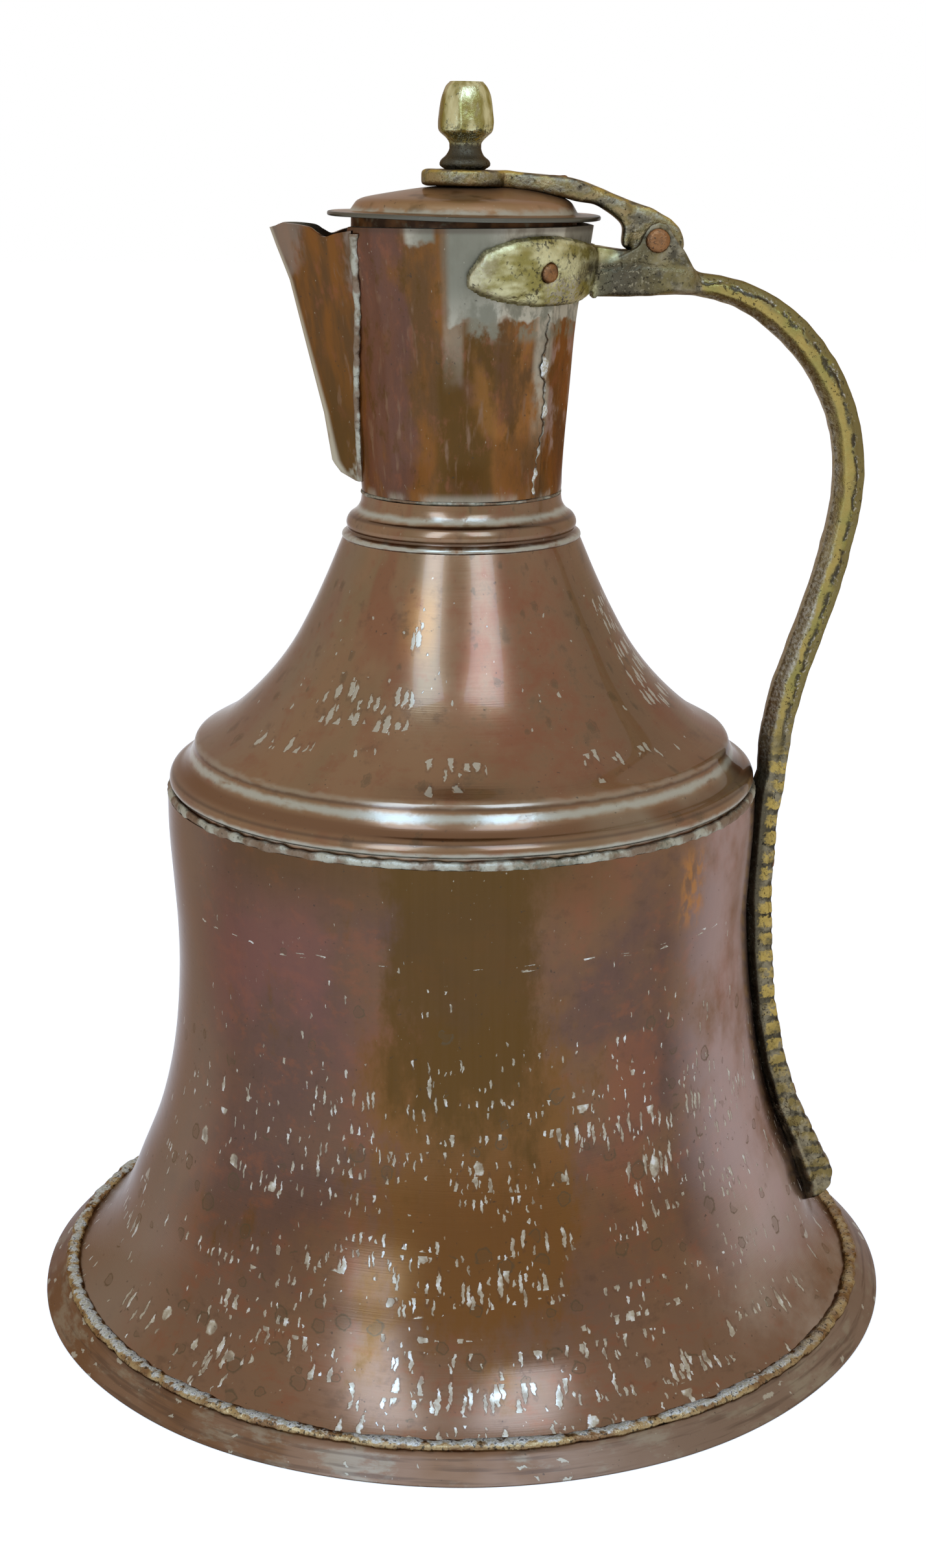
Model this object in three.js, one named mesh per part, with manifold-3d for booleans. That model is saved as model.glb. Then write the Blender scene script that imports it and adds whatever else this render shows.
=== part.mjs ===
// A lidded copper water jug with a bell-shaped body, a folded spout and a cast brass handle.
// Millimetres, +Z up. The origin is the centre of the base, on the surface the jug stands on.
// The spout points to -X and the handle to +X, so the jug is the same on both sides of y = 0.
import * as THREE from "three";
import { mergeVertices } from "three/addons/utils/BufferGeometryUtils.js";
import Module from "manifold-3d";

const wasm = await Module();
wasm.setup();

// Sheet metal, clearances and how finely round pieces are divided
const sheet = 1.2; // copper sheet of the body, neck, spout, base and lid
const gap = 0.3; // clearance between pieces that touch
const overrun = 2; // how far a cut runs past what it cuts
const bodySides = 48;
const lidSides = 36;
const smallSides = 16;

// Base plate: a disc whose edge is turned up and in over the foot of the bell
const baseRadius = 125;
const baseEdge = 0.5; // bevel of the bottom edge
const rimHeight = 6.3;
const rimLeanShare = 0.1475; // how far the turned-up edge leans in, as a share of the flare's width
const footFace = 13; // width of the flat ring that the jug stands on
const baseDish = 1.5; // how far the middle of the base is raised
const baseDishSlope = 5;
const footBeadHeight = 1.8;
const footBeadBulge = 0.5;

// Bell: the lower body, from the foot to the shoulder seam
const bellTop = 150;
const waistRadius = 82.3;
const bellTopRadius = 83.6;
// [height share of the bell, share of the way from the waist out to the foot]
const flareShares = [
  [0, 1],
  [0.03, 0.875],
  [0.044, 0.81],
  [0.064, 0.723],
  [0.088, 0.637],
  [0.125, 0.533],
  [0.172, 0.438],
  [0.226, 0.352],
  [0.327, 0.198],
  [0.428, 0.094],
  [0.529, 0.03],
  [0.643, 0],
];
// [height share of the bell, share of the way from the waist out to the top]
const swellShares = [
  [0.74, 0],
  [0.83, 0.46],
  [0.93, 1],
  [1, 1],
];

// Shoulder seam: the shoulder's lap goes inside the bell, and a bead of solder fills the joint
const lapDepth = 7;
const shoulderSeam = 2.8; // height of the open joint above the bell
const shoulderBead = 0.6; // how far the bead stands out of the bell

// Shoulder: a rounded band, a cone that curves in, and two rolls below the neck
const bandRadius = 83;
const bandHeight = 12.2;
const coneFootRadius = 75.2;
const coneHeight = 56.2;
const coneTopRadius = 33;
const rollHeight = 11.6; // from the cone's top up to the neck's seam
const stubRadius = 27.6;
const stubLap = 8; // how far the stub reaches up inside the neck
// [height share, share of the way from the band in to the cone's foot]
const bandShares = [
  [0.14, 0],
  [0.32, 0.18],
  [0.43, 0.5],
  [0.63, 0.67],
  [0.92, 0.96],
  [1, 1],
];
// [height share, share of the way from the cone's foot in to its top]
const coneShares = [
  [0.089, 0.199],
  [0.267, 0.455],
  [0.445, 0.642],
  [0.623, 0.775],
  [0.8, 0.886],
  [0.96, 0.976],
  [1, 1],
];
// [height share, share of the way from the cone's top in to the stub]
const rollShares = [
  [0.095, 0.3],
  [0.172, 0.28],
  [0.328, 0.24],
  [0.5, 0.44],
  [0.716, 0.87],
  [0.862, 1],
  [1, 1],
];

// Neck: a rolled sheet, open at the top, with a lap seam down the front right
const neckSeam = 1.8; // height of the soldered joint between stub and neck
const neckBead = 0.3; // how far that solder stands out
const neckHeight = 70.4;
const lipRadius = 36;
// [height share, share of the way from the foot out to the lip]
const neckShares = [
  [0, 0],
  [0.703, 0.536],
  [0.929, 0.905],
  [1, 1],
];
const neckSeamAngle = -43; // degrees from the handle, towards the front
const neckSeamWidth = 2.2;
const neckSeamProud = 0.6;
const neckSeamClear = 2; // bare neck at each end of the seam's solder

// Spout: a V of sheet against the neck, from just above the rolls to the lip
const spoutFootRise = 1.7; // height of the spout's foot above the neck's foot
const spoutPeakRise = 0.5; // height of the spout's highest point above the lip
const spoutReach = 51.9;
const spoutFootReach = 1.5; // how far the foot stands out of the neck
const spoutFootHalf = 3;
const spoutMouthHalf = 22.5;
const spoutNoseHalf = 1.2;
const spoutFloor = 6; // depth of closed metal at the foot
const spoutRimDip = 3.2;
const notchRise = 14; // height of the notch's foot above the spout's foot
// [height share of the spout, share of the way out to the full reach]
const noseShares = [
  [0, 0],
  [0.033, 0.173],
  [0.078, 0.276],
  [0.267, 0.369],
  [0.526, 0.564],
  [0.782, 0.756],
  [0.912, 0.907],
  [1, 1],
];
// [share of the way from the tip in to the neck, share of the rim's dip]
const spoutRimShares = [
  [0, 0.62],
  [0.07, 0.74],
  [0.19, 1],
  [0.45, 0.81],
  [0.56, 0.37],
  [0.67, 0],
  [0.82, 0.31],
  [1, 0.56],
];
const seamBeadWidth = 1.7; // on each side of the spout's seam
const seamBeadProud = 0.8;

// Handle: one brass casting with two wings round the neck, two ears, a bar and a tail
const wingThickness = 2.7;
const wingEdge = 0.9;
const wingHalfHeight = 9;
const wingDrop = 10.8; // from the lip down to the middle of the wings
const wingAngle = 87.4; // how far each wing reaches round the neck, in degrees
const wingSteps = 13;
// [share of the wing's angle, share of its half height above the middle, and below it]
const wingShares = [
  [0, 0.5, 0.95],
  [0.25, 0.7, 0.97],
  [0.45, 0.9, 1],
  [0.62, 0.98, 1],
  [0.78, 0.88, 0.88],
  [0.91, 0.61, 0.71],
  [0.96, 0.41, 0.56],
  [1, -0.1, 0.4],
];
// [share of the wing's height, share of the way from its edge to its full thickness]
const pillowShares = [
  [0, 0],
  [0.1, 0.6],
  [0.28, 0.93],
  [0.5, 1],
  [0.72, 0.93],
  [0.9, 0.6],
  [1, 0],
];
const pinReach = 16.3; // from the lip out to the hinge pin's axis
const pinDrop = 4; // from the lip down to the hinge pin's axis
const earWidth = 14; // across both ears
const slotWidth = 6;
const slotRadius = 8.8;
const bracketDrop = 15; // from the pin's axis down to the bottom of the bracket
const webWidth = 12;
const webDrop = 2.4; // from the pin's axis down to the top of the web
const webTopRise = 1.2; // the web is this much higher where it meets the neck
// Outline of an ear round the pin's axis, in shares of the ear's radius, from the lower left
const earRadius = 5.4;
const earShares = [
  [-2.33, -0.98],
  [-1.39, -0.52],
  [-0.93, -0.17],
  [-0.76, 0.24],
  [-0.44, 0.74],
  [0, 0.95],
  [0.43, 0.87],
  [0.72, 0.5],
  [1.08, -0.1],
  [1.38, -0.5],
  [1.68, -1.05],
  [1.95, -1.4],
];
const barWidth = 10;
const barThickness = 8.8;
const barReach = 106.9; // from the jug's axis to the middle of the bar at its widest
const barBellyDrop = 66.6; // from the lip down to that place
const barRootReach = 4.7; // from the pin's axis out to where the bar leaves the bracket
const barRootDrop = 12; // from the pin's axis down to the middle of the bar there
const barSteps = 26;
// [share of the way out to the widest place, share of the way up to the root]
const upperArchShares = [
  [0.154, 1.006],
  [0.248, 0.988],
  [0.401, 0.939],
  [0.543, 0.858],
  [0.679, 0.748],
  [0.8, 0.604],
  [0.882, 0.469],
  [0.954, 0.297],
  [0.986, 0.152],
  [1, 0],
];
// [share of the way out from the tail to the widest place, share of the way up to it]
const lowerArchShares = [
  [0.978, 0.897],
  [0.884, 0.774],
  [0.784, 0.665],
  [0.657, 0.559],
  [0.49, 0.439],
  [0.33, 0.332],
  [0.197, 0.231],
  [0.08, 0.124],
];
const rootThicknessShare = 0.66; // of the bar's, where it leaves the bracket
const rootGrowthShare = 0.2; // of the arch, over which the bar grows to its full thickness
const tailRise = 10; // from the bell's top up to where the bar lands on the body
const tailBlendShare = 0.12; // of the arch, over which the bar's section turns into the tail's
const seamThicknessShare = 0.9; // of the bar's, where it passes the shoulder seam
const tailThickness = 8.6;
// [height share of the bell, share of the tail's thickness], from the shoulder down
const tailShares = [
  [0.93, 0.82],
  [0.8, 0.83],
  [0.66, 0.97],
  [0.53, 1.06],
  [0.42, 1.13],
  [0.32, 1.16],
  [0.226, 1.29],
  [0.16, 1.3],
  [0.118, 1.32],
  [0.092, 0.88],
];
// Half of a section of the bar: [share of its thickness from the inner side, share of its half width]
const barSectionShares = [
  [0, 0.45],
  [0.33, 1],
  [0.62, 1],
  [1, 0.55],
];
const tailSectionShares = [
  [0, 0.45],
  [0.36, 1],
  [0.7, 1],
  [1, 0.85],
];

// Rivets and the hinge pin: copper, hammered flush outside and headed inside
const rivetRadius = 2.1;
const rivetHeadRadius = 3.4;
const rivetHeadHeight = 1.4;
const rivetProud = 0.25;
const rivetFaceShare = 0.7; // radius of the flat on a rivet's or the pin's end
const headClearance = 0.6; // under an inner head, which is flat on a curved wall
const wingRivetAngle = 51.3; // degrees from the handle
const tailRivetRise = [126, 52]; // heights of the tail's rivets above the base
const pinRadius = 2.2;
const pinHeadRadius = 3;
const pinHeadHeight = 1.1;

// Lid: a stepped dome with a brim, a collar under it, an arm and a finial
const brimOverhang = 0.7; // how far the brim stands out past the lip
const brimSeat = 0.8; // how far the brim stands above the lip when the lid is square to the neck
const brimEdge = 0.6; // radius of the brim's rounded edge
const brimRise = 1.6;
const stepFootRadius = 30.4;
const stepRise = 2.6;
const stepTopRadius = 28.2;
const domeRise = 4;
const lidOffset = 0.6; // the lid's axis lies this much nearer the handle than the neck's
const restTilt = 1.1; // degrees that the lid stands open, on its hinge, as it lies at rest
// [radius share of the step's top, share of the dome's rise]
const domeShares = [
  [0.957, 0.16],
  [0.66, 0.55],
  [0.355, 0.85],
  [0, 1],
];
const collarRadius = 30.3;
const collarDepth = 6;

// Lid arm: a flat bar with two lobes and a blade that turns between the ears
const armThickness = 3.6;
const armDiscRadius = 11.4;
const armWaistHalf = 4.6;
const armLobeHalf = 6.4;
const armNeckHalf = 4.2;
const armRivetReach = 24.8; // from the lid's axis out to the arm's rivet
const armRivetHeadRadius = 2.9;
const armRivetCrown = 0.5; // height of that rivet's low head
const bladeWidth = 5.4;
const bladeStart = 7.8; // from the pin's axis back to where the arm narrows to the blade
// Plan of the arm's front edge from the disc to the blade:
// [share of the way from the lid's axis to the pin's, share of the way from the waist out to the lobe]
const armPlanShares = [
  [0.23, 0],
  [0.33, 0.35],
  [0.42, 0.9],
  [0.49, 1],
  [0.56, 0.9],
  [0.66, 0.3],
];
// Side view of the arm's top: [share of the way from the lid's axis to the pin's,
// share of the height from the pin's axis up to the flat part's top]
const armTopShares = [
  [0.21, 1],
  [0.285, 0.98],
  [0.405, 0.952],
  [0.533, 0.922],
  [0.61, 0.864],
  [0.685, 0.783],
  [0.857, 0.584],
  [0.966, 0.47],
];
// Side view of the arm's underside, from the pin's end back to the flat part, in the same shares
const armUnderShares = [
  [0.817, -0.105],
  [0.832, 0.211],
  [0.782, 0.345],
  [0.681, 0.548],
  [0.583, 0.578],
  [0.484, 0.654],
  [0.352, 0.726],
  [0.201, 0.77],
];
// The blade's outline round the pin's axis, clockwise from the top, in shares of its radius
const bladeRadius = 7.4;
const bladeShares = [
  [0.47, 0.72],
  [0.8, 0.43],
  [0.95, 0.1],
  [0.98, -0.25],
  [0.7, -0.7],
  [0, -0.99],
  [-0.7, -0.7],
  [-1, -0.3],
];

// Finial: a cast bulb on a waisted foot, with a stem riveted over inside the lid
const finialHeight = 22.4;
const finialRadius = 7.6;
const stemRadius = 2.6;
const stemHeadRadius = 4.2;
const stemHeadHeight = 1.3;
// [radius share, height share], from the foot up
const finialShares = [
  [0.72, 0],
  [0.9, 0.05],
  [0.87, 0.1],
  [0.67, 0.165],
  [0.57, 0.24],
  [0.57, 0.295],
  [0.7, 0.36],
  [0.96, 0.44],
  [1, 0.52],
  [0.96, 0.66],
  [0.87, 0.845],
  [0.75, 0.94],
  [0.59, 1],
];

// Places worked out from the sizes above
const rimLean = (baseRadius - waistRadius) * rimLeanShare;
const bellFoot = sheet + gap;
const bellHeight = bellTop - bellFoot;
const bandFoot = bellTop + shoulderSeam;
const coneFoot = bandFoot + bandHeight;
const coneTop = coneFoot + coneHeight;
const stubFoot = coneTop + rollHeight;
const neckFoot = stubFoot + neckSeam;
const lip = neckFoot + neckHeight;
const lapRadius = bellTopRadius - sheet - gap;
const stubLapRadius = stubRadius - sheet - gap;
const wingMiddle = lip - wingDrop;
const pin = new THREE.Vector3(lipRadius + pinReach, 0, lip - pinDrop);
const brimRadius = lipRadius + brimOverhang;
const brimFoot = lip + brimSeat;
const domeTop = brimFoot + brimRise + stepRise + domeRise;
const armUnder = domeTop + gap;
const armTop = armUnder + armThickness;
const spoutFoot = neckFoot + spoutFootRise;
const spoutPeak = lip + spoutPeakRise;
const rivetHole = rivetRadius + gap;
const pinHole = pinRadius + gap;
const stemHole = stemRadius + gap;
const beadOuterRadius = bellTopRadius + shoulderBead;
const lidPin = new THREE.Vector3(pin.x - lidOffset, 0, pin.z); // seen from the lid's own axis

const up = new THREE.Vector3(0, 0, 1);
const across = new THREE.Vector3(0, 1, 0);
const radians = THREE.MathUtils.degToRad;

// A profile point: radius, height
function at(radius, height) {
  return new THREE.Vector2(radius, height);
}

// Profile points between two radii and two heights, from [height share, radius share] pairs
function between(shares, fromRadius, toRadius, foot, height) {
  return shares.map(([rise, out]) => at(fromRadius + (toRadius - fromRadius) * out, foot + height * rise));
}

// The value in column `column` of a table of shares, at a place along its first column
function lookUp(table, place, column = 1) {
  for (let k = 1; k < table.length; k++) {
    const [a, b] = [table[k - 1], table[k]];
    if (place <= b[0]) {
      return a[column] + ((b[column] - a[column]) * (place - a[0])) / (b[0] - a[0]);
    }
  }
  return table[table.length - 1][column];
}

// The place and the outward direction of a rising outline at one height
function seatOn(outline, height) {
  for (let k = 1; k < outline.length; k++) {
    const [a, b] = [outline[k - 1], outline[k]];
    if (height <= b.y || k === outline.length - 1) {
      const rise = b.y - a.y;
      const radius = a.x + ((b.x - a.x) * (height - a.y)) / rise;
      const out = new THREE.Vector3(rise, 0, a.x - b.x).normalize();
      return { place: new THREE.Vector3(radius, 0, height), out };
    }
  }
}

function radiusOn(outline, height) {
  return seatOn(outline, height).place.x;
}

// The same outline, moved into the metal by a distance: an end moves level, or plumb if it is on the axis
function inset(outline, distance) {
  const last = outline.length - 1;
  return outline.map((point, k) => {
    const before = outline[Math.max(k - 1, 0)];
    const after = outline[Math.min(k + 1, last)];
    const along = after.clone().sub(before).normalize();
    if (k > 0 && k < last) {
      return at(point.x - along.y * distance, point.y + along.x * distance);
    }
    return point.x > 0 ? at(point.x - distance / along.y, point.y) : at(0, point.y + distance / along.x);
  });
}

// A solid of revolution about Z; the profile runs up the outside and back down the inside
function turned(profile, sides) {
  const closed = profile[0].x > 0 ? [...profile, profile[0]] : profile;
  return new THREE.LatheGeometry(closed, sides).rotateX(Math.PI / 2);
}

// A plate whose outline lies in the XZ plane, as thick as `width` across Y
function sidePlate(outline, width) {
  const plate = new THREE.ExtrudeGeometry(new THREE.Shape(outline), {
    depth: width,
    bevelEnabled: false,
  });
  return plate.rotateX(Math.PI / 2).translate(0, width / 2, 0);
}

// A plate whose outline lies in the XY plane, between two heights
function floorPlate(outline, low, high) {
  const plate = new THREE.ExtrudeGeometry(new THREE.Shape(outline), {
    depth: high - low,
    bevelEnabled: false,
  });
  return plate.translate(0, 0, low);
}

// A closed skin through rings that all have the same number of points
function loft(rings) {
  const count = rings[0].length;
  const points = rings.flat();
  const faces = [];
  for (let ring = 0; ring + 1 < rings.length; ring++) {
    for (let i = 0; i < count; i++) {
      const a = ring * count + i;
      const b = ring * count + ((i + 1) % count);
      faces.push(a, b, b + count, a, b + count, a + count);
    }
  }
  for (const ring of [0, rings.length - 1]) {
    const middle = points.length;
    const sum = rings[ring].reduce((total, point) => total.add(point), new THREE.Vector3());
    points.push(sum.divideScalar(count));
    for (let i = 0; i < count; i++) {
      const a = ring * count + i;
      const b = ring * count + ((i + 1) % count);
      faces.push(...(ring === 0 ? [middle, b, a] : [middle, a, b]));
    }
  }
  const skin = new THREE.BufferGeometry().setFromPoints(points);
  return skin.setIndex(faces);
}

// A geometry turned so that its Z axis lies along a direction, and moved to a place
function aimed(geometry, place, direction) {
  const turn = new THREE.Quaternion().setFromUnitVectors(up, direction);
  return geometry.applyQuaternion(turn).translate(place.x, place.y, place.z);
}

// A round cutter along a direction, with its middle at a place
function drill(radius, length, place, direction) {
  const cutter = new THREE.CylinderGeometry(radius, radius, length, smallSides).rotateX(Math.PI / 2);
  return solid(aimed(cutter, place, direction));
}

// A geometry as a solid that can be joined and cut, with its faces outwards
function solid(geometry) {
  const bare = geometry.clone();
  bare.deleteAttribute("normal");
  bare.deleteAttribute("uv");
  const merged = mergeVertices(bare);
  const made = (triVerts) =>
    new wasm.Manifold(
      new wasm.Mesh({ numProp: 3, vertProperties: merged.attributes.position.array, triVerts }),
    );
  const triVerts = new Uint32Array(merged.index.array);
  const result = made(triVerts);
  return result.volume() < 0 ? made(triVerts.reverse()) : result;
}

function geometryOf(manifold) {
  const mesh = manifold.getMesh();
  const geometry = new THREE.BufferGeometry();
  geometry.setAttribute("position", new THREE.BufferAttribute(mesh.vertProperties, 3));
  geometry.setIndex(new THREE.BufferAttribute(mesh.triVerts, 1));
  geometry.computeVertexNormals();
  return geometry;
}

// The direction that points straight out of the jug at an angle from the handle
function outwards(angle) {
  return new THREE.Vector3(Math.cos(radians(angle)), Math.sin(radians(angle)), 0);
}

function bellOutline() {
  const rim = rimInside(bellFoot);
  const footRadius = rim - gap * Math.hypot(1, rimLean / rimHeight);
  return [
    ...between(flareShares, waistRadius, footRadius, bellFoot, bellHeight),
    ...between(swellShares, waistRadius, bellTopRadius, bellFoot, bellHeight),
  ];
}

// The inner radius of the base plate's turned-up edge at a height
function rimInside(height) {
  const slope = rimLean / (rimHeight - baseEdge);
  return baseRadius - slope * (height - baseEdge) - sheet * Math.hypot(1, slope);
}

function shoulderOutline() {
  return [
    at(bandRadius, bandFoot),
    ...between(bandShares, bandRadius, coneFootRadius, bandFoot, bandHeight),
    ...between(coneShares, coneFootRadius, coneTopRadius, coneFoot, coneHeight),
    ...between(rollShares, coneTopRadius, stubRadius, coneTop, rollHeight),
  ];
}

function neckOutline() {
  return between(neckShares, stubRadius, lipRadius, neckFoot, neckHeight);
}

const bell = bellOutline();
const shoulder = shoulderOutline();
const neck = neckOutline();

function makeBasePlate() {
  const footInner = baseRadius - baseEdge - footFace;
  const dishRadius = footInner - baseDishSlope;
  const rimTop = at(baseRadius - rimLean, rimHeight);
  return turned(
    [
      at(0, baseDish),
      at(dishRadius, baseDish),
      at(footInner, 0),
      at(baseRadius - baseEdge, 0),
      at(baseRadius, baseEdge),
      rimTop,
      at(rimInside(rimHeight - baseEdge), rimHeight - baseEdge),
      at(rimInside(sheet), sheet),
      at(footInner, sheet),
      at(dishRadius, baseDish + sheet),
      at(0, baseDish + sheet),
    ],
    bodySides,
  );
}

// Solder in the corner between the base plate's rim and the bell
function makeFootBead() {
  const low = rimHeight + gap;
  const nearBell = (height) => {
    const { place, out } = seatOn(bell, height);
    return at(place.x + out.x * gap, place.z + out.z * gap);
  };
  const inner = nearBell(low);
  const top = nearBell(low + footBeadHeight);
  const outer = at(baseRadius - rimLean, low);
  const crown = outer.clone().lerp(top, 0.5).add(at(footBeadBulge, footBeadBulge));
  return turned([inner, outer, crown, top], bodySides);
}

function makeBell() {
  return turned([...bell, ...inset(bell, sheet).reverse()], bodySides);
}

function makeShoulder() {
  const lap = [at(lapRadius, bellTop - lapDepth), at(lapRadius, bandFoot)];
  const stub = [at(stubLapRadius, stubFoot), at(stubLapRadius, stubFoot + stubLap)];
  const bandTurn = at(lapRadius, shoulder[1].y);
  const [, , bandRound, , bandWaist, , coneEdge] = shoulder;
  const cone = shoulder.slice(bandShares.length + 1, bandShares.length + coneShares.length - 1);
  const groove = shoulder[bandShares.length + coneShares.length + 1];
  const inside = [lap[0], bandTurn, bandRound, bandWaist, coneEdge, ...cone, groove, ...stub];
  return turned([...lap, ...shoulder, ...stub, ...inset(inside, sheet).reverse()], bodySides);
}

// A ring of solder with a rounded outside, between two heights
function solderRing(innerRadius, outerRadius, low, high) {
  const bevel = (high - low) / 3;
  return turned(
    [
      at(innerRadius, low),
      at(outerRadius - bevel, low),
      at(outerRadius, low + bevel),
      at(outerRadius, high - bevel),
      at(outerRadius - bevel, high),
      at(innerRadius, high),
    ],
    bodySides,
  );
}

function makeShoulderBead() {
  return solderRing(lapRadius + gap, beadOuterRadius, bellTop + gap, bandFoot - gap);
}

function makeNeckBead() {
  return solderRing(stubLapRadius + gap, stubRadius + neckBead, stubFoot + gap, neckFoot - gap);
}

// A ring of the V-shaped spout at one height, moved in from its outside by `inward`
function spoutRing(height, inward) {
  const rise = (height - spoutFoot) / (spoutPeak - spoutFoot);
  const footX = radiusOn(neck, spoutFoot) + spoutFootReach;
  const noseX = footX + (spoutReach - footX) * lookUp(noseShares, rise);
  const half = spoutHalf(height);
  const neckX = Math.sqrt(radiusOn(neck, height) ** 2 - half ** 2);
  const lean = Math.atan2(half, noseX - neckX);
  const seamY = half - inward / Math.cos(lean);
  const noseY = spoutNoseHalf * (1 - inward / (inward + sheet));
  const corners = [
    [noseX - inward / Math.sin(lean) / Math.SQRT2, noseY],
    [neckX, seamY],
    [neckX / 2, seamY / 2],
  ];
  const front = corners.map(([x, y]) => new THREE.Vector3(-x, -y, height));
  const back = corners.map(([x, y]) => new THREE.Vector3(-x, y, height));
  return [...front, ...back.reverse()];
}

// Half the width of the spout where it meets the neck
function spoutHalf(height) {
  const rise = (height - spoutFoot) / (spoutPeak - spoutFoot);
  return spoutFootHalf + (spoutMouthHalf - spoutFootHalf) * rise;
}

// The spout's V as a solid from one height up, for the spout itself and for what it hollows out
function spoutWedge(low, inward) {
  const levels = spoutLevels(low, spoutPeak + overrun);
  return solid(loft(levels.map((height) => spoutRing(height, inward))));
}

// Heights for the spout's rings between two heights: where the line of its nose turns
function spoutLevels(low, high) {
  const turns = noseShares.map(([rise]) => spoutFoot + (spoutPeak - spoutFoot) * rise);
  return [low, ...turns.filter((height) => height > low && height < high), high];
}

// Everything above the wavy rim of the spout
function aboveSpoutRim() {
  const neckX = Math.sqrt(lipRadius ** 2 - spoutMouthHalf ** 2);
  const dip = spoutPeak - spoutRimDip;
  const rim = spoutRimShares.map(([inwards, rise]) =>
    at(-spoutReach + (spoutReach - neckX) * inwards, dip + spoutRimDip * rise),
  );
  const top = spoutPeak + overrun * 2;
  const outline = [
    at(-spoutReach - overrun, rim[0].y),
    ...rim,
    at(0, rim[rim.length - 1].y),
    at(0, top),
    at(-spoutReach - overrun, top),
  ];
  return solid(sidePlate(outline, lipRadius * 2));
}

function makeSpout() {
  const top = spoutPeak + overrun * 2;
  const wall = neck.map((point) => at(point.x + gap, point.y));
  const core = solid(turned([at(0, neckFoot), ...wall, at(lipRadius + gap, top), at(0, top)], bodySides));
  const hollow = spoutWedge(spoutFoot + spoutFloor, sheet);
  return spoutWedge(spoutFoot, 0).subtract(hollow).subtract(core).subtract(aboveSpoutRim());
}

// A bead of solder up one side of the spout, in the corner between its wall and the neck
function makeSpoutBead() {
  const rings = [];
  for (const height of spoutLevels(spoutFoot + gap, lip - spoutRimDip)) {
    const [nose, seam] = spoutRing(height, 0);
    const wall = nose.clone().sub(seam).normalize();
    const out = new THREE.Vector3(seam.x, seam.y, 0).normalize();
    const round = new THREE.Vector3().crossVectors(up, out).normalize();
    const wallOut = new THREE.Vector3(wall.y, -wall.x, 0);
    if (wallOut.dot(out) < 0) {
      wallOut.negate();
    }
    const lift = out.clone().add(wallOut).normalize();
    const corner = (along, reach, proud, direction) =>
      seam.clone().addScaledVector(along, reach).addScaledVector(direction, proud);
    rings.push([
      corner(round, seamBeadWidth, gap * 2, out),
      corner(round, seamBeadWidth / 2, gap + seamBeadProud, out),
      corner(wall, seamBeadWidth / 2, gap + seamBeadProud, lift),
      corner(wall, seamBeadWidth, gap * 2, wallOut),
      corner(wall, 0, gap * 2, lift),
    ]);
  }
  return solid(loft(rings));
}

function wingRivetAxis(side) {
  const { place, out } = seatOn(neck, wingMiddle);
  const turn = new THREE.Matrix4().makeRotationZ(side * radians(wingRivetAngle));
  return { place: place.applyMatrix4(turn), out: out.applyMatrix4(turn) };
}

function makeNeck() {
  const tube = solid(turned([...neck, ...inset(neck, sheet).reverse()], bodySides));
  const notch = spoutWedge(spoutFoot + notchRise, sheet + gap);
  const holes = [-1, 1].map((side) => {
    const { place, out } = wingRivetAxis(side);
    return drill(rivetHole, (sheet + overrun) * 2, place, out);
  });
  return tube.subtract(notch).subtract(holes[0]).subtract(holes[1]);
}

// Solder on the neck's own lap seam, below the front wing
function makeNeckSeam() {
  const low = neckFoot + neckSeamClear;
  const high = wingMiddle - wingHalfHeight - neckSeamClear;
  const out = outwards(neckSeamAngle);
  const round = new THREE.Vector3().crossVectors(up, out);
  const rings = [low, (low + high) / 2, high].map((height) => {
    const radius = radiusOn(neck, height) + gap;
    const corners = [
      [neckSeamWidth / 2, 0],
      [neckSeamWidth / 4, neckSeamProud],
      [-neckSeamWidth / 4, neckSeamProud],
      [-neckSeamWidth / 2, 0],
    ];
    return corners.map(([aside, proud]) =>
      new THREE.Vector3(0, 0, height).addScaledVector(out, radius + proud).addScaledVector(round, aside),
    );
  });
  return solid(loft(rings));
}

// The two wings and the band that joins them at the handle, as one strip round the neck
function wings() {
  const rings = [];
  for (let step = -wingSteps; step <= wingSteps; step++) {
    const share = Math.abs(step) / wingSteps;
    const direction = outwards((wingAngle * step) / wingSteps);
    const high = wingMiddle + wingHalfHeight * lookUp(wingShares, share, 1);
    const low = wingMiddle - wingHalfHeight * lookUp(wingShares, share, 2);
    const spot = (rise, proud) => {
      const height = low + (high - low) * rise;
      return direction.clone().multiplyScalar(radiusOn(neck, height) + gap + proud).setZ(height);
    };
    const thick = wingEdge + (wingThickness - wingEdge) * Math.min(1, (high - low) / wingHalfHeight);
    const outer = pillowShares.map(([rise, bulge]) => spot(rise, wingEdge + (thick - wingEdge) * bulge));
    rings.push([...outer, spot(1, 0), spot(0.5, 0), spot(0, 0)]);
  }
  return solid(loft(rings));
}

// Outline points round the hinge's axis, from shares of a radius
function round(axis, shares, radius) {
  return shares.map(([x, z]) => at(axis.x + radius * x, axis.z + radius * z));
}

function bracket() {
  const bottom = pin.z - bracketDrop;
  const webStart = radiusOn(neck, wingMiddle) + gap + wingThickness / 2;
  const ears = round(pin, earShares, earRadius);
  const webTop = pin.z - webDrop;
  const web = [
    at(webStart, bottom),
    at(pin.x, bottom),
    at(pin.x, webTop),
    at(pin.x - slotRadius, webTop),
    at(webStart, webTop + webTopRise),
  ];
  const blockFoot = bottom + wingEdge;
  const block = [at(ears[0].x, blockFoot), ...ears, at(ears[ears.length - 1].x, blockFoot)];
  return solid(sidePlate(web, webWidth)).add(solid(sidePlate(block.reverse(), earWidth)));
}

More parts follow.
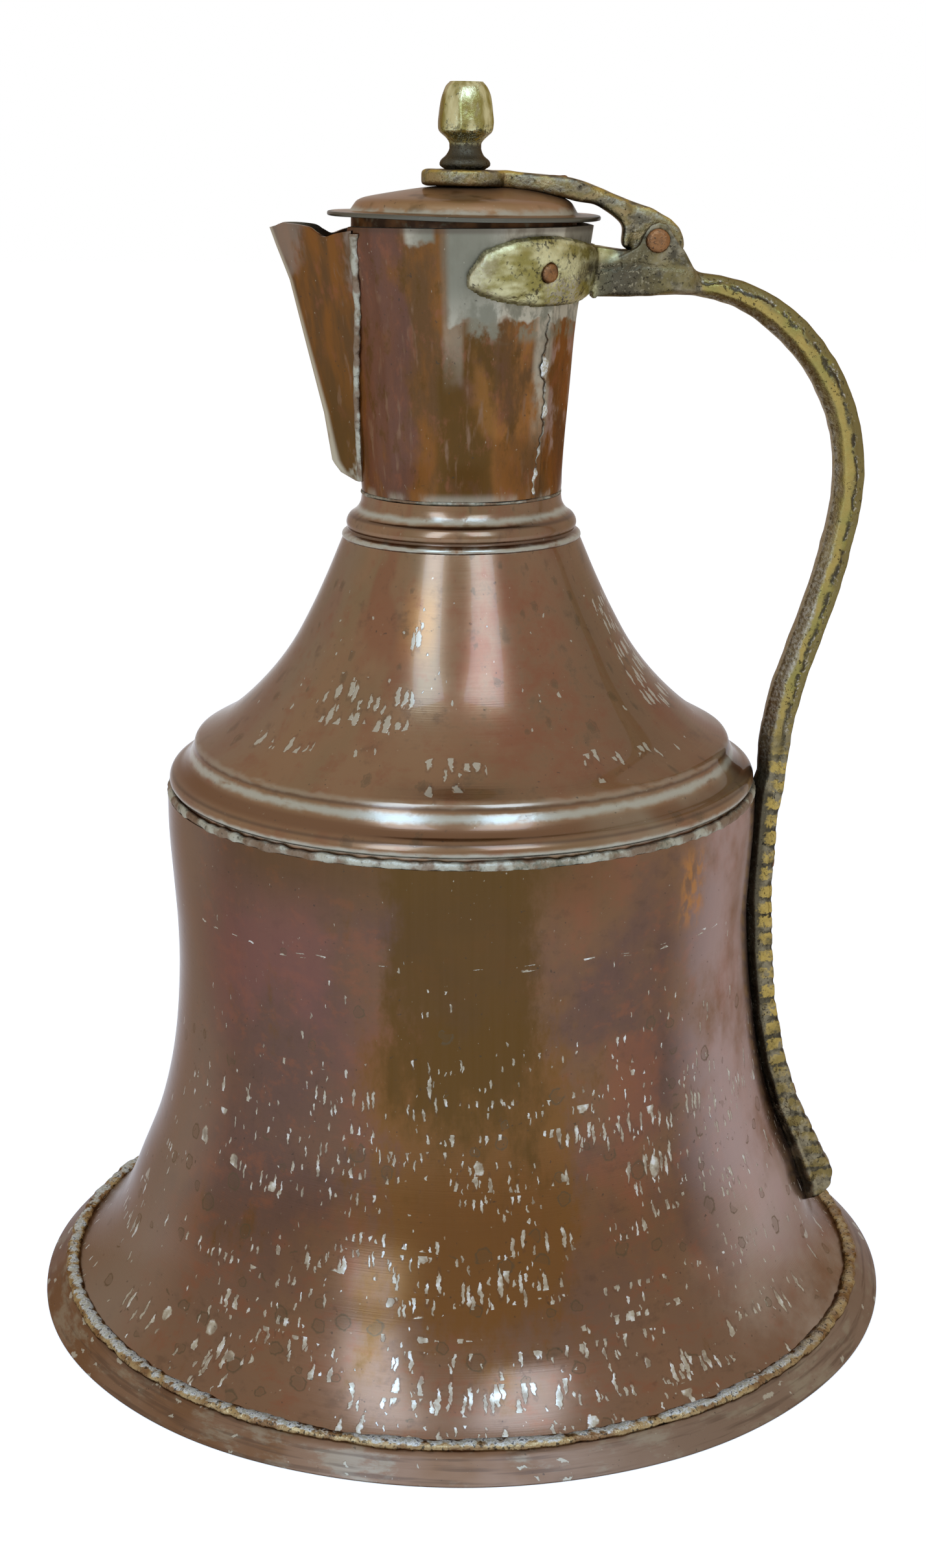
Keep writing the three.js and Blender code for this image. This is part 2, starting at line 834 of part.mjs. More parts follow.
// The slot between the ears, with a round floor that the lid's blade turns over
function slot() {
  const round = new THREE.CylinderGeometry(slotRadius, slotRadius, slotWidth, smallSides * 2);
  const above = new THREE.BoxGeometry(slotRadius * 2, slotWidth, slotRadius);
  above.translate(0, 0, slotRadius / 2);
  round.translate(pin.x, pin.y, pin.z);
  above.translate(pin.x, pin.y, pin.z);
  return solid(round).add(solid(above));
}

// Stations down the middle of the bar and tail: place, direction out of the jug, thickness, blend
function barStations() {
  const root = at(pin.x + barRootReach, pin.z - barRootDrop);
  const belly = at(barReach, lip - barBellyDrop);
  const landing = at(beadOuterRadius + gap + barThickness / 2, bellTop + tailRise);
  const bend = (from, to, shares) =>
    shares.map(([out, rise]) => at(from.x + (to.x - from.x) * out, to.y + (from.y - to.y) * rise));
  const arch = new THREE.SplineCurve([
    root,
    ...bend(root, belly, upperArchShares),
    ...lowerArchShares.map(([out, rise]) =>
      at(landing.x + (belly.x - landing.x) * out, landing.y + (belly.y - landing.y) * rise),
    ),
    landing,
  ]);
  const stations = [];
  for (let step = 0; step <= barSteps; step++) {
    const share = step / barSteps;
    const place = arch.getPointAt(share);
    const along = arch.getTangentAt(share);
    const growth = Math.min(1, share / rootGrowthShare);
    const thickness = barThickness * (rootThicknessShare + (1 - rootThicknessShare) * growth);
    stations.push({
      place: new THREE.Vector3(place.x, 0, place.y),
      out: new THREE.Vector3(-along.y, 0, along.x),
      thickness,
      blend: Math.max(0, 1 - (1 - share) / tailBlendShare),
    });
  }
  const start = new THREE.Vector3(pin.x - earRadius, 0, root.y);
  stations.unshift({ place: start, out: up.clone(), thickness: stations[0].thickness, blend: 0 });
  const seamThickness = barThickness * seamThicknessShare;
  const seamPlace = new THREE.Vector3(beadOuterRadius + gap + seamThickness / 2, 0, bellTop);
  stations.push({ place: seamPlace, out: outwards(0), thickness: seamThickness, blend: 1 });
  for (const [rise, thick] of tailShares) {
    const { place, out } = seatOn(bell, bellFoot + bellHeight * rise);
    const thickness = tailThickness * thick;
    place.addScaledVector(out, gap + thickness / 2);
    stations.push({ place, out, thickness, blend: 1 });
  }
  return stations;
}

function bar() {
  const rings = barStations().map(({ place, out, thickness, blend }) => {
    const half = barSectionShares.map(([through, wide], k) => {
      const [tailThrough, tailWide] = tailSectionShares[k];
      return [through + (tailThrough - through) * blend, wide + (tailWide - wide) * blend];
    });
    const corner = (through, wide) =>
      place
        .clone()
        .addScaledVector(out, thickness * (through - 0.5))
        .addScaledVector(across, (barWidth / 2) * wide);
    const near = half.map(([through, wide]) => corner(through, -wide));
    const far = half.map(([through, wide]) => corner(through, wide));
    return [...near, ...far.reverse()];
  });
  return solid(loft(rings));
}

function tailThicknessAt(height) {
  const rise = (height - bellFoot) / bellHeight;
  return tailThickness * lookUp([...tailShares].reverse(), rise);
}

function makeHandle() {
  let casting = wings().add(bracket()).add(bar()).subtract(slot());
  casting = casting.subtract(drill(pinHole, earWidth + overrun * 2, pin, across));
  for (const side of [-1, 1]) {
    const { place, out } = wingRivetAxis(side);
    casting = casting.subtract(drill(rivetHole, (wingThickness + overrun) * 2, place, out));
  }
  for (const height of tailRivetRise) {
    const { place, out } = seatOn(bell, height);
    casting = casting.subtract(drill(rivetHole, (tailThickness + overrun) * 2, place, out));
  }
  return casting;
}

// A copper rivet through a wall of sheet and a casting: head inside, flush end outside
function rivet(place, out, castingThickness) {
  const inner = sheet + headClearance + rivetHeadHeight;
  const length = inner + gap + castingThickness + rivetProud;
  const profile = [
    at(0, 0),
    at(rivetHeadRadius, 0),
    at(rivetHeadRadius, rivetHeadHeight),
    at(rivetRadius, rivetHeadHeight),
    at(rivetRadius, length - rivetProud * 2),
    at(rivetRadius * rivetFaceShare, length),
    at(0, length),
  ];
  return aimed(turned(profile, smallSides), place.clone().addScaledVector(out, -inner), out);
}

function makeWingRivet(side) {
  const { place, out } = wingRivetAxis(side);
  return rivet(place, out, wingThickness);
}

function makeTailRivet(height) {
  const { place, out } = seatOn(bell, height);
  return rivet(place, out, tailThicknessAt(height));
}

// The bell with holes for the tail's rivets
function makeDrilledBell() {
  let shell = solid(makeBell());
  for (const height of tailRivetRise) {
    const { place, out } = seatOn(bell, height);
    shell = shell.subtract(drill(rivetHole, (sheet + overrun) * 2, place, out));
  }
  return shell;
}

function makePin() {
  const shank = earWidth / 2 + gap;
  const end = shank + pinHeadHeight;
  const profile = [
    at(0, -end),
    at(pinHeadRadius * rivetFaceShare, -end),
    at(pinHeadRadius, -shank - pinHeadHeight / 2),
    at(pinHeadRadius, -shank),
    at(pinRadius, -shank),
    at(pinRadius, shank),
    at(pinHeadRadius, shank),
    at(pinHeadRadius, shank + pinHeadHeight / 2),
    at(pinHeadRadius * rivetFaceShare, end),
    at(0, end),
  ];
  return aimed(turned(profile, smallSides), pin, across);
}

function coverOutline() {
  const stepFoot = brimFoot + brimRise;
  const stepTop = stepFoot + stepRise;
  return [
    at(brimRadius, brimFoot + brimEdge / 2),
    at(brimRadius, brimFoot + (brimEdge * 3) / 2),
    at(brimRadius - brimEdge, brimFoot + brimEdge * 2),
    at(stepFootRadius, stepFoot),
    at(stepTopRadius, stepTop),
    ...domeShares.map(([out, rise]) => at(stepTopRadius * out, stepTop + domeRise * rise)),
  ];
}

function makeCover() {
  const outside = coverOutline();
  const under = inset(outside.slice(2), sheet);
  under[0] = at(brimRadius - brimEdge, brimFoot);
  under[under.length - 1].x = 0;
  const dish = solid(turned([...under.reverse(), ...outside], lidSides));
  const depth = (armTop - brimFoot) * 2;
  const stem = drill(stemHole, depth, new THREE.Vector3(0, 0, domeTop), up);
  const rivetPlace = new THREE.Vector3(armRivetReach, 0, domeTop);
  return dish.subtract(stem).subtract(drill(rivetHole, depth, rivetPlace, up));
}

function makeCollar() {
  const top = brimFoot + brimRise - sheet - gap;
  const inner = collarRadius - sheet;
  const foot = top - collarDepth;
  return turned([at(inner, foot), at(collarRadius, foot), at(collarRadius, top), at(inner, top)], lidSides);
}

// A point of the arm's side view, from its shares
function armSpot([out, rise]) {
  return at(lidPin.x * out, lidPin.z + (armTop - lidPin.z) * rise);
}

function armPlan() {
  const front = [];
  const open = Math.asin(armWaistHalf / armDiscRadius);
  for (let step = 0; step <= smallSides; step++) {
    const angle = Math.PI - ((Math.PI - open) * step) / smallSides;
    front.push(at(armDiscRadius * Math.cos(angle), -armDiscRadius * Math.sin(angle)));
  }
  for (const [out, wide] of armPlanShares) {
    front.push(at(lidPin.x * out, -(armWaistHalf + (armLobeHalf - armWaistHalf) * wide)));
  }
  const bladeX = lidPin.x - bladeStart;
  front.push(at(bladeX - armNeckHalf, -armNeckHalf), at(bladeX, -armNeckHalf));
  const back = front.slice(1).map((point) => at(point.x, -point.y));
  return [...front, ...back.reverse()];
}

function makeArm() {
  const low = lidPin.z - bladeRadius;
  const end = -armDiscRadius - overrun;
  const blade = round(lidPin, bladeShares, bladeRadius);
  const bent = [...armTopShares.map(armSpot), ...blade, ...armUnderShares.map(armSpot)];
  const side = [at(end, armTop), ...bent, at(end, armUnder)];
  const plan = solid(floorPlate(armPlan(), low, armTop + overrun));
  const wide = solid(sidePlate(side, armDiscRadius * 2 + overrun)).intersect(plan);
  const stemPlace = new THREE.Vector3(0, 0, armTop);
  const rivetPlace = new THREE.Vector3(armRivetReach, 0, armTop);
  const depth = (armTop - low) * 2;
  return wide
    .add(solid(sidePlate(bent, bladeWidth)))
    .subtract(drill(pinHole, bladeWidth + overrun * 2, lidPin, across))
    .subtract(drill(stemHole, depth, stemPlace, up))
    .subtract(drill(rivetHole, depth, rivetPlace, up));
}

// The arm's rivet: a low round head on the arm and a small one inside the lid
function makeArmRivet() {
  const top = armSpot([0, lookUp(armTopShares, (armRivetReach - armRivetHeadRadius) / lidPin.x)]).y;
  const coverShare = lookUp([...domeShares].reverse(), armRivetReach / stepTopRadius);
  const coverTop = domeTop - domeRise * (1 - coverShare);
  const foot = coverTop - sheet - headClearance - rivetHeadHeight * 2;
  const crown = top + gap + armRivetCrown;
  const profile = [
    at(0, foot),
    at(armRivetHeadRadius, foot),
    at(armRivetHeadRadius, foot + rivetHeadHeight),
    at(rivetRadius, foot + rivetHeadHeight),
    at(rivetRadius, top + gap),
    at(armRivetHeadRadius, top + gap),
    at(armRivetHeadRadius * rivetFaceShare, crown),
    at(0, crown),
  ];
  return turned(profile, smallSides).translate(armRivetReach, 0, 0);
}

function makeFinial() {
  const foot = armTop + gap;
  const head = domeTop - sheet - headClearance;
  const profile = [
    at(0, head - stemHeadHeight),
    at(stemHeadRadius, head - stemHeadHeight),
    at(stemHeadRadius, head),
    at(stemRadius, head),
    at(stemRadius, foot),
    ...finialShares.map(([out, rise]) => at(finialRadius * out, foot + finialHeight * rise)),
    at(0, foot + finialHeight),
  ];
  return turned(profile, smallSides);
}

// Metals: worn copper in four tones, cast brass in three, and tin solder
const copper = { color: 0x8f5a45, roughness: 0.38, metalness: 1 };
const warmCopper = { color: 0x99582f, roughness: 0.36, metalness: 1 };
const darkCopper = { color: 0x6e4434, roughness: 0.5, metalness: 1 };
const rivetCopper = { color: 0xb0683c, roughness: 0.42, metalness: 1 };
const brass = { color: 0xa88a3c, roughness: 0.4, metalness: 1 };
const paleBrass = { color: 0xb9a860, roughness: 0.35, metalness: 1 };
const solder = { color: 0xb4b09c, roughness: 0.6, metalness: 0.7 };

function piece(name, shape, look) {
  const geometry = shape.isBufferGeometry ? shape : geometryOf(shape);
  const mesh = new THREE.Mesh(geometry, new THREE.MeshStandardMaterial(look));
  mesh.name = name;
  return mesh;
}

// The same piece on the other side of the jug
function mirrored(name, shape, look) {
  const mesh = piece(name, shape, look);
  mesh.scale.y = -1;
  return mesh;
}

function makeVessel() {
  return new THREE.Group().add(
    piece("base_plate", makeBasePlate(), darkCopper),
    piece("foot_solder_ring", makeFootBead(), solder),
    piece("bell_body", makeDrilledBell(), copper),
    piece("shoulder_solder_ring", makeShoulderBead(), solder),
    piece("shoulder_body", makeShoulder(), copper),
    piece("neck_solder_ring", makeNeckBead(), solder),
    piece("neck_tube", makeNeck(), warmCopper),
    piece("neck_seam_solder", makeNeckSeam(), solder),
    piece("spout", makeSpout(), warmCopper),
    piece("spout_solder_front", makeSpoutBead(), solder),
    mirrored("spout_solder_back", makeSpoutBead(), solder),
    piece("handle", makeHandle(), brass),
    piece("wing_rivet_front", makeWingRivet(-1), rivetCopper),
    piece("wing_rivet_back", makeWingRivet(1), rivetCopper),
    piece("tail_rivet_upper", makeTailRivet(tailRivetRise[0]), rivetCopper),
    piece("tail_rivet_lower", makeTailRivet(tailRivetRise[1]), rivetCopper),
    piece("hinge_pin", makePin(), rivetCopper),
  );
}

// The lid is made round its own axis; it turns about the hinge pin, and stands a little open at rest
function makeLid() {
  const pieces = new THREE.Group().add(
    piece("lid_cover", makeCover(), copper),
    piece("lid_collar", makeCollar(), darkCopper),
    piece("lid_arm", makeArm(), paleBrass),
    piece("arm_rivet", makeArmRivet(), rivetCopper),
    piece("finial", makeFinial(), paleBrass),
  );
  pieces.position.copy(lidPin).negate();
  const hinged = new THREE.Group().add(pieces);
  hinged.position.copy(pin);
  hinged.rotation.y = radians(restTilt);
  return hinged;
}

const jug = new THREE.Group().add(makeVessel(), makeLid());

export default jug;
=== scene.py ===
"""A lidded copper water jug with a bell-shaped body and a cast brass handle.

Each CAD node is replaced by a finer mesh of the same piece, hand-beaten and worn. Tables are in
millimetres; the scene is in metres, +Z up, with the origin at the centre of the base.
"""

import math
from functools import reduce
from operator import or_

import bpy
import numpy as np
from mathutils import Matrix, Vector


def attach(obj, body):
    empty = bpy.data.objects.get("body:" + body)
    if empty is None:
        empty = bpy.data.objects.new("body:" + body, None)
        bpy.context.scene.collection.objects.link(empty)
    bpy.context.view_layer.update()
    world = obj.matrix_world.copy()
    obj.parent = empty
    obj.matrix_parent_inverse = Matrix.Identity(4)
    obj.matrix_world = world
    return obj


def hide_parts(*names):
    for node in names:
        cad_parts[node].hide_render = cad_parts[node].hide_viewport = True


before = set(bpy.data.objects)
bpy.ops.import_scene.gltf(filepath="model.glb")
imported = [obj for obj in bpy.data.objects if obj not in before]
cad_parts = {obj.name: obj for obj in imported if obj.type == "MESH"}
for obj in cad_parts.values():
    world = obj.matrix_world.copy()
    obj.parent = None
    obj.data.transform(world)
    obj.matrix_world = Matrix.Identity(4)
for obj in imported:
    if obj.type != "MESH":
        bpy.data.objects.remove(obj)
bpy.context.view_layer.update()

MM = 0.001
SHEET = 1.2  # thickness of the copper sheet
GAP = 0.3  # clearance between pieces that touch
ALL_SMOOTH = 180  # the angle of edge that shades a piece smooth everywhere

# Body: [radius, height] up the outside
BASE_PROFILE = [
    (0.5, 1.5), (60, 1.5), (106.5, 1.5), (111.5, 0), (118, 0), (124.5, 0), (124.9, 0.18),
    (125, 0.5), (124.6, 0.95), (122, 3.2), (119.9, 5.25), (118.7, 6.3), (118.2, 6.45),
    (117.6, 6.2), (117.65, 5.8), (121.8, 1.75), (121.9, 1.2), (111.5, 1.2), (106.5, 2.7),
    (60, 2.7), (0.5, 2.7),
]
BELL_OUTLINE = [
    (121.7, 1.5), (116.8, 6.0), (114.2, 8.0), (110.8, 11.0), (107.4, 14.6), (103.3, 20.1),
    (99.6, 27.0), (96.2, 35.1), (90.1, 50.1), (86.0, 65.1), (83.5, 80.1), (82.3, 97.0),
    (82.3, 111.4), (82.9, 124.8), (83.6, 139.6), (83.6, 150.0),
]
BAND_OUTLINE = [
    (82.5, 152.8), (83.0, 153.5), (83.0, 154.7), (82.3, 156.1), (81.2, 156.9), (79.6, 157.7),
    (78.2, 159.0), (77.2, 160.5), (76.2, 162.4), (75.7, 164.2), (75.2, 165.0),
]
CONE_OUTLINE = [
    (75.2, 165.0), (66.8, 170.0), (56.0, 180.0), (48.1, 190.0), (42.5, 200.0), (37.8, 210.0),
    (34.0, 218.9), (33.0, 221.2),
]
ROLL_OUTLINE = [
    (33.0, 221.2), (33.3, 221.7), (33.1, 222.4), (32.3, 222.9), (31.6, 223.3), (31.5, 223.7),
    (31.8, 224.3), (32.0, 225.2), (31.7, 226.4), (31.0, 227.4), (30.1, 228.0), (29.3, 228.7),
    (28.5, 229.7), (27.9, 231.0), (27.6, 233.3),
]
LAP_RADIUS = 82.1  # outside of the shoulder's lap, inside the bell
LAP_FOOT = 143.0
STUB_RADIUS = 26.1  # outside of the shoulder's stub, inside the neck
STUB_TOP = 240.8
NECK_FOOT = 234.3
NECK_LIP = 305.0
NECK_OUTLINE = [(27.6, NECK_FOOT), (32.1, 284.1), (35.2, 300.0), (36.0, NECK_LIP)]
NECK_FACETS = 12
NECK_FACET_SHARE = 0.9  # of the depth of a true facet
TAIL_SWELL = [(16, 0), (26, 2.2), (38, 3.1), (60, 2.7), (85, 2.2), (100, 1.2), (116, 0)]
TAIL_SWELL_HALF = math.radians(21)
TAIL_DEPTH = 9.0  # level distance from the bell to the outside of the tail
TAIL_CUT = 5.4  # the tail's end lies this much higher on the bell than the solid's

# Solder
# part, radius and height of its line, half width and half height, seed, roughness, sides, sway
RING_BEADS = [
    ("foot", (116.5, 7.1), (2.4, 1.6), 41, 0.26, 720, 0.0),
    ("shoulder", (82.6, 150.7), (1.25, 1.6), 43, 0.26, 720, 0.0),
    ("neck", (27.0, 233.8), (0.95, 0.62), 47, 0.3, 360, 0.12),
]
SEAM_PATH = [(235.2, -46.4), (245, -44.2), (257, -41.2), (268, -43.6), (283, -43.4)]  # up, degrees
SEAM_HALF = 0.11
# Height, half length and half width of each blob on the seam
SEAM_BLOBS = [
    (269.3, 2.6, 1.5), (263, 1.2, 0.5), (257.5, 2.2, 1.0), (247, 1.5, 0.6), (240.5, 2.2, 1.0),
    (236.2, 1.2, 1.0),
]
BEAD_FOOT = 236.7  # of the solder up the spout's sides
BEAD_TOP = 303.3

# Spout
SPOUT_FOOT = 236.3
SPOUT_PEAK = 305.5
SPOUT_REACH = 51.9
SPOUT_FOOT_REACH = 29.4
SPOUT_FOOT_HALF = 3.0
SPOUT_MOUTH_HALF = 22.5
SPOUT_FLOOR = 6.0
NOTCH_FOOT = 250.3
NOSE_SHARES = [
    (0, 0), (0.033, 0.173), (0.078, 0.276), (0.267, 0.369), (0.526, 0.564), (0.782, 0.756),
    (0.912, 0.907), (1, 1),
]
SPOUT_RIM_DIP = 3.2
SPOUT_RIM_SHARES = [
    (0, 0.62), (0.07, 0.74), (0.19, 1), (0.45, 0.81), (0.56, 0.37), (0.67, 0), (0.82, 0.31),
    (1, 0.56),
]

# Handle and rivets
LOOP_MIDDLE = (48.0, 215.0)  # of the handle's loop, along X and up
CHISEL_PITCH = 5.2  # between the notches across the tail
MELT_ROUNDS = 40
# node, body, how far its upper head is lowered, how far it is grown
RIVETS = [
    ("wing_rivet_front", "vessel", 0, 0.5), ("wing_rivet_back", "vessel", 0, 0.5),
    ("tail_rivet_upper", "vessel", 0, -0.05), ("tail_rivet_lower", "vessel", 0, -0.05),
    ("hinge_pin", "vessel", 0, 0.2), ("arm_rivet", "lid", 0.7, 0.1),
]

# Lid: [radius, height above the brim's foot] over the cover, then back under it
PIN = (52.3, 0.0, 301.0)
REST_TILT = math.radians(1.1)
LID_OFFSET = 0.6
BRIM_FOOT = 305.8
COVER_BRIM = [(36.1, 0), (36.55, 0.1), (36.7, 0.35), (36.7, 0.85), (36.5, 1.12), (36.1, 1.2)]
COVER_STEP = [(35.2, 1.25), (32, 1.4), (30.9, 1.55), (30.4, 1.75)]
COVER_DOME = [
    (29.6, 2.9), (28.9, 3.8), (28.2, 4.25), (27.0, 4.75), (18.6, 6.4), (10, 7.75), (3, 8.4),
    (0.4, 8.45),
]
COVER_UNDER = [
    (0.4, 7.0), (9, 6.4), (18, 5.2), (26.6, 3.5), (27.9, 2.8), (29.2, 0.7), (30, 0.42), (33, 0.15),
]
DOME_TOP = 314.0
DOME_BEND = 1.15  # how far the dome is bent up under the arm
COLLAR_RADIUS = 30.3
COLLAR_TOP = BRIM_FOOT + 0.1
COLLAR_DEPTH = 6
FINIAL_FOOT = 317.9 + GAP  # on the top of the arm
FINIAL_HEIGHT = 22.4
FINIAL_RADIUS = 7.6
FINIAL_SHARES = [
    (0.72, 0), (0.9, 0.05), (0.87, 0.1), (0.67, 0.165), (0.57, 0.24), (0.57, 0.295),
    (0.7, 0.36), (0.96, 0.44), (1, 0.52), (0.96, 0.66), (0.87, 0.845), (0.75, 0.94), (0.59, 1),
]
FINIAL_FACETS = 8


def lumps(points, size, seed, waves=16):
    """Smooth uneven values, about -1 to 1, over points in mm; size is about a lump's width."""
    rng = np.random.default_rng(seed)
    ways = rng.normal(size=(waves, 3))
    ways /= np.linalg.norm(ways, axis=1)[:, None]
    ways *= (rng.uniform(0.6, 1.4, waves) * math.pi / size)[:, None]
    turns = rng.uniform(0, 2 * math.pi, waves)
    return np.sin(points @ ways.T + turns).sum(axis=1) / math.sqrt(waves * 2)


def fade(values, low, high):
    """0 at low, 1 at high, straight between."""
    return np.clip((values - low) / (high - low), 0, 1)


def between_rows(table, value):
    """The table's second column where its first is the value."""
    firsts, seconds = np.array(table).T
    return np.interp(value, firsts, seconds)


def radius_at(outline, height):
    radii, heights = np.array(outline).T
    return np.interp(height, heights, radii)


def unit(vector):
    return vector / np.linalg.norm(vector)


def curved(points, step):
    """A fine line through points: a Catmull-Rom curve, divided about every step mm."""
    points = [np.array(p, float) for p in points]
    ends = [2 * points[0] - points[1], *points, 2 * points[-1] - points[-2]]
    line = []
    for k in range(1, len(ends) - 2):
        a, b, c, d = ends[k - 1 : k + 3]
        span = [max(np.linalg.norm(q - p), 1e-6) ** 0.5 for p, q in ((a, b), (b, c), (c, d))]
        out_b = (b - a) / span[0] - (c - a) / (span[0] + span[1]) + (c - b) / span[1]
        out_c = (c - b) / span[1] - (d - b) / (span[1] + span[2]) + (d - c) / span[2]
        out_b, out_c = out_b * span[1], out_c * span[1]
        count = max(2, round(float(np.linalg.norm(c - b)) / step))
        for t in np.arange(count) / count:
            line.append(
                (2 * t**3 - 3 * t**2 + 1) * b
                + (t**3 - 2 * t**2 + t) * out_b
                + (3 * t**2 - 2 * t**3) * c
                + (t**3 - t**2) * out_c
            )
    line.append(points[-1])
    return np.array(line)


def offset_line(line, distance):
    """The line moved to its left by a distance, which is into the metal for a rising outline."""
    way = np.gradient(line, axis=0)
    way /= np.linalg.norm(way, axis=1)[:, None]
    return line + np.column_stack([-way[:, 1], way[:, 0]]) * distance


def walls(outline):
    """A closed profile with the outline as its outside, with how far along and how far in."""
    along = np.concatenate([[0], np.cumsum(np.linalg.norm(np.diff(outline, axis=0), axis=1))])
    inner = offset_line(outline, SHEET)
    bevel = 0.25
    foot_way = (inner[0] - outline[0]) * bevel
    top_way = (inner[-1] - outline[-1]) * bevel
    profile = np.vstack([
        outline[0] + foot_way, outline, outline[-1] + top_way,
        inner[-1] - top_way, inner[::-1], inner[0] - foot_way,
    ])
    length = np.concatenate([[0], along, [along[-1]] * 2, along[::-1], [0]])
    half = len(outline) + 2
    return profile, {"along": length, "inside": inside_after(half, half)}


def inside_after(outside, inside):
    """0 for each point outside the jug, then 1 for each inside it."""
    return np.repeat([0.0, 1.0], [outside, inside])


def store(mesh, **values):
    """Keeps values at each point of a mesh, for its material to read."""
    for name, numbers in values.items():
        kept = mesh.attributes.new(name, "FLOAT", "POINT")
        kept.data.foreach_set("value", np.asarray(numbers, dtype=np.float32))


def add_object(name, data):
    piece = bpy.data.objects.new(name, data)
    bpy.context.scene.collection.objects.link(piece)
    return piece


def mesh_object(name, points, faces, values=None, smooth_angle=40):
    """A mesh object from points in mm, shaded smooth but for edges sharper than smooth_angle."""
    mesh = bpy.data.meshes.new(name)
    mesh.from_pydata((np.asarray(points) * MM).tolist(), [], faces)
    mesh.validate()
    store(mesh, **(values or {}))
    piece = add_object(name, mesh)
    mesh.shade_smooth()
    mesh.set_sharp_from_angle(angle=math.radians(smooth_angle))
    return piece


def grid_faces(rows, columns, wrap_rows=False, wrap_columns=True):
    """Quads between rows of points, each row running through `columns` points."""
    faces = []
    for r in range(rows if wrap_rows else rows - 1):
        here, after = r * columns, (r + 1) % rows * columns
        for c in range(columns if wrap_columns else columns - 1):
            right = (c + 1) % columns
            faces.append((here + c, here + right, after + right, after + c))
    return faces


def round_axis(radius, height, turn):
    return np.stack([radius * np.cos(turn), radius * np.sin(turn), height], axis=-1)


def turned(name, profile, sides, values=None, shape=None, smooth_angle=40):
    """A closed profile turned round Z. shape(radius, height, angle) gives new radius and height."""
    angles = np.linspace(0, 2 * math.pi, sides, endpoint=False)
    profile = np.asarray(profile, float)
    radius, turn = np.meshgrid(profile[:, 0], angles, indexing="ij")
    height = np.meshgrid(profile[:, 1], angles, indexing="ij")[0]
    if shape is not None:
        radius, height = shape(radius, height, turn)
    points = round_axis(radius, height, turn).reshape(-1, 3)
    values = {key: np.repeat(kept, sides) for key, kept in (values or {}).items()}
    faces = grid_faces(len(profile), sides, wrap_rows=True)
    return mesh_object(name, points, faces, values, smooth_angle)


def waver(places, size, seed):
    """Lumps over a grid of radii, heights and angles, as turned() shapes need them."""
    return lumps(round_axis(*places).reshape(-1, 3), size, seed).reshape(places[0].shape)


def beaten(depth, size, seed):
    """A shape for turned(): the wall wavers in and out by about depth mm."""

    def shape(radius, height, turn):
        return radius + depth * (waver((radius, height, turn), size, seed) - 0.5), height

    return shape


def facets(turn, count, share):
    """Radius share of a softened polygon with `count` sides."""
    step = 2 * math.pi / count
    within = np.mod(turn, step) - step / 2
    flat = math.cos(step / 2) / np.cos(within)
    return 1 - (1 - flat) * share


def stands_for(piece, node, body):
    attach(piece, body)
    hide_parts(node)
    return piece


# Body


def make_base_plate():
    def shape(radius, height, turn):
        uneven = 0.12 * np.sin(turn * 5 + 1) + 0.1 * np.sin(turn * 11) - 0.22
        return radius + uneven * (radius > 100), height

    piece = turned("base_plate_sheet", BASE_PROFILE, 288, shape=shape, smooth_angle=30)
    return stands_for(piece, "base_plate", "vessel")


def tail_swell(turn, height):
    """How far the bell is pulled out behind the handle's tail."""
    away = np.angle(np.exp(1j * np.asarray(turn))) / TAIL_SWELL_HALF
    return between_rows(TAIL_SWELL, height) * np.exp(-(away**2))


def make_bell():
    profile, values = walls(curved(BELL_OUTLINE, 1.6))
    wavy = beaten(0.14, 26, 11)

    def shape(radius, height, turn):
        return wavy(radius, height, turn)[0] + tail_swell(turn, height), height

    piece = turned("bell_sheet", profile, 320, values, shape)
    return stands_for(piece, "bell_body", "vessel")


def make_shoulder():
    outer = np.vstack([
        [(LAP_RADIUS, LAP_FOOT), (LAP_RADIUS, 152.7)],
        curved(BAND_OUTLINE, 0.5)[:-1],
        curved(CONE_OUTLINE, 1.2)[:-1],
        curved(ROLL_OUTLINE, 0.35),
        [(STUB_RADIUS, 233.4), (STUB_RADIUS, STUB_TOP)],
    ])
    inner = np.vstack([
        [(LAP_RADIUS - SHEET, LAP_FOOT), (LAP_RADIUS - SHEET, 154), (76.5, 158), (74.4, 162)],
        offset_line(np.array(CONE_OUTLINE + [(28.3, 229.5), (27.6, 231)]), SHEET),
        [(STUB_RADIUS - SHEET, 232.5), (STUB_RADIUS - SHEET, STUB_TOP)],
    ])
    profile = np.vstack([outer, inner[::-1]])
    values = {"inside": inside_after(len(outer), len(inner))}
    piece = turned("shoulder_sheet", profile, 288, values, beaten(0.1, 22, 23), smooth_angle=48)
    return stands_for(piece, "shoulder_body", "vessel")


def from_spout(turn):
    """Degrees between an angle round the jug and the spout."""
    return np.abs(np.degrees(np.angle(-np.exp(1j * np.asarray(turn)))))


def neck_softness(turn, height):
    """Radius share of the neck's hand-planished facets, none at its foot or by the spout."""
    grown = np.clip((height - NECK_FOOT - 2) / 8, 0, 1)
    share = NECK_FACET_SHARE * grown * np.clip((from_spout(turn) - 40) / 12, 0, 1)
    return facets(turn + 0.2, NECK_FACETS, share)


def neck_radius(height):
    return radius_at(NECK_OUTLINE, height)


def spout_rise(height):
    return (height - SPOUT_FOOT) / (SPOUT_PEAK - SPOUT_FOOT)


def spout_half(height):
    return SPOUT_FOOT_HALF + (SPOUT_MOUTH_HALF - SPOUT_FOOT_HALF) * spout_rise(height)


def spout_nose(height):
    share = between_rows(NOSE_SHARES, spout_rise(height))
    return SPOUT_FOOT_REACH + (SPOUT_REACH - SPOUT_FOOT_REACH) * share


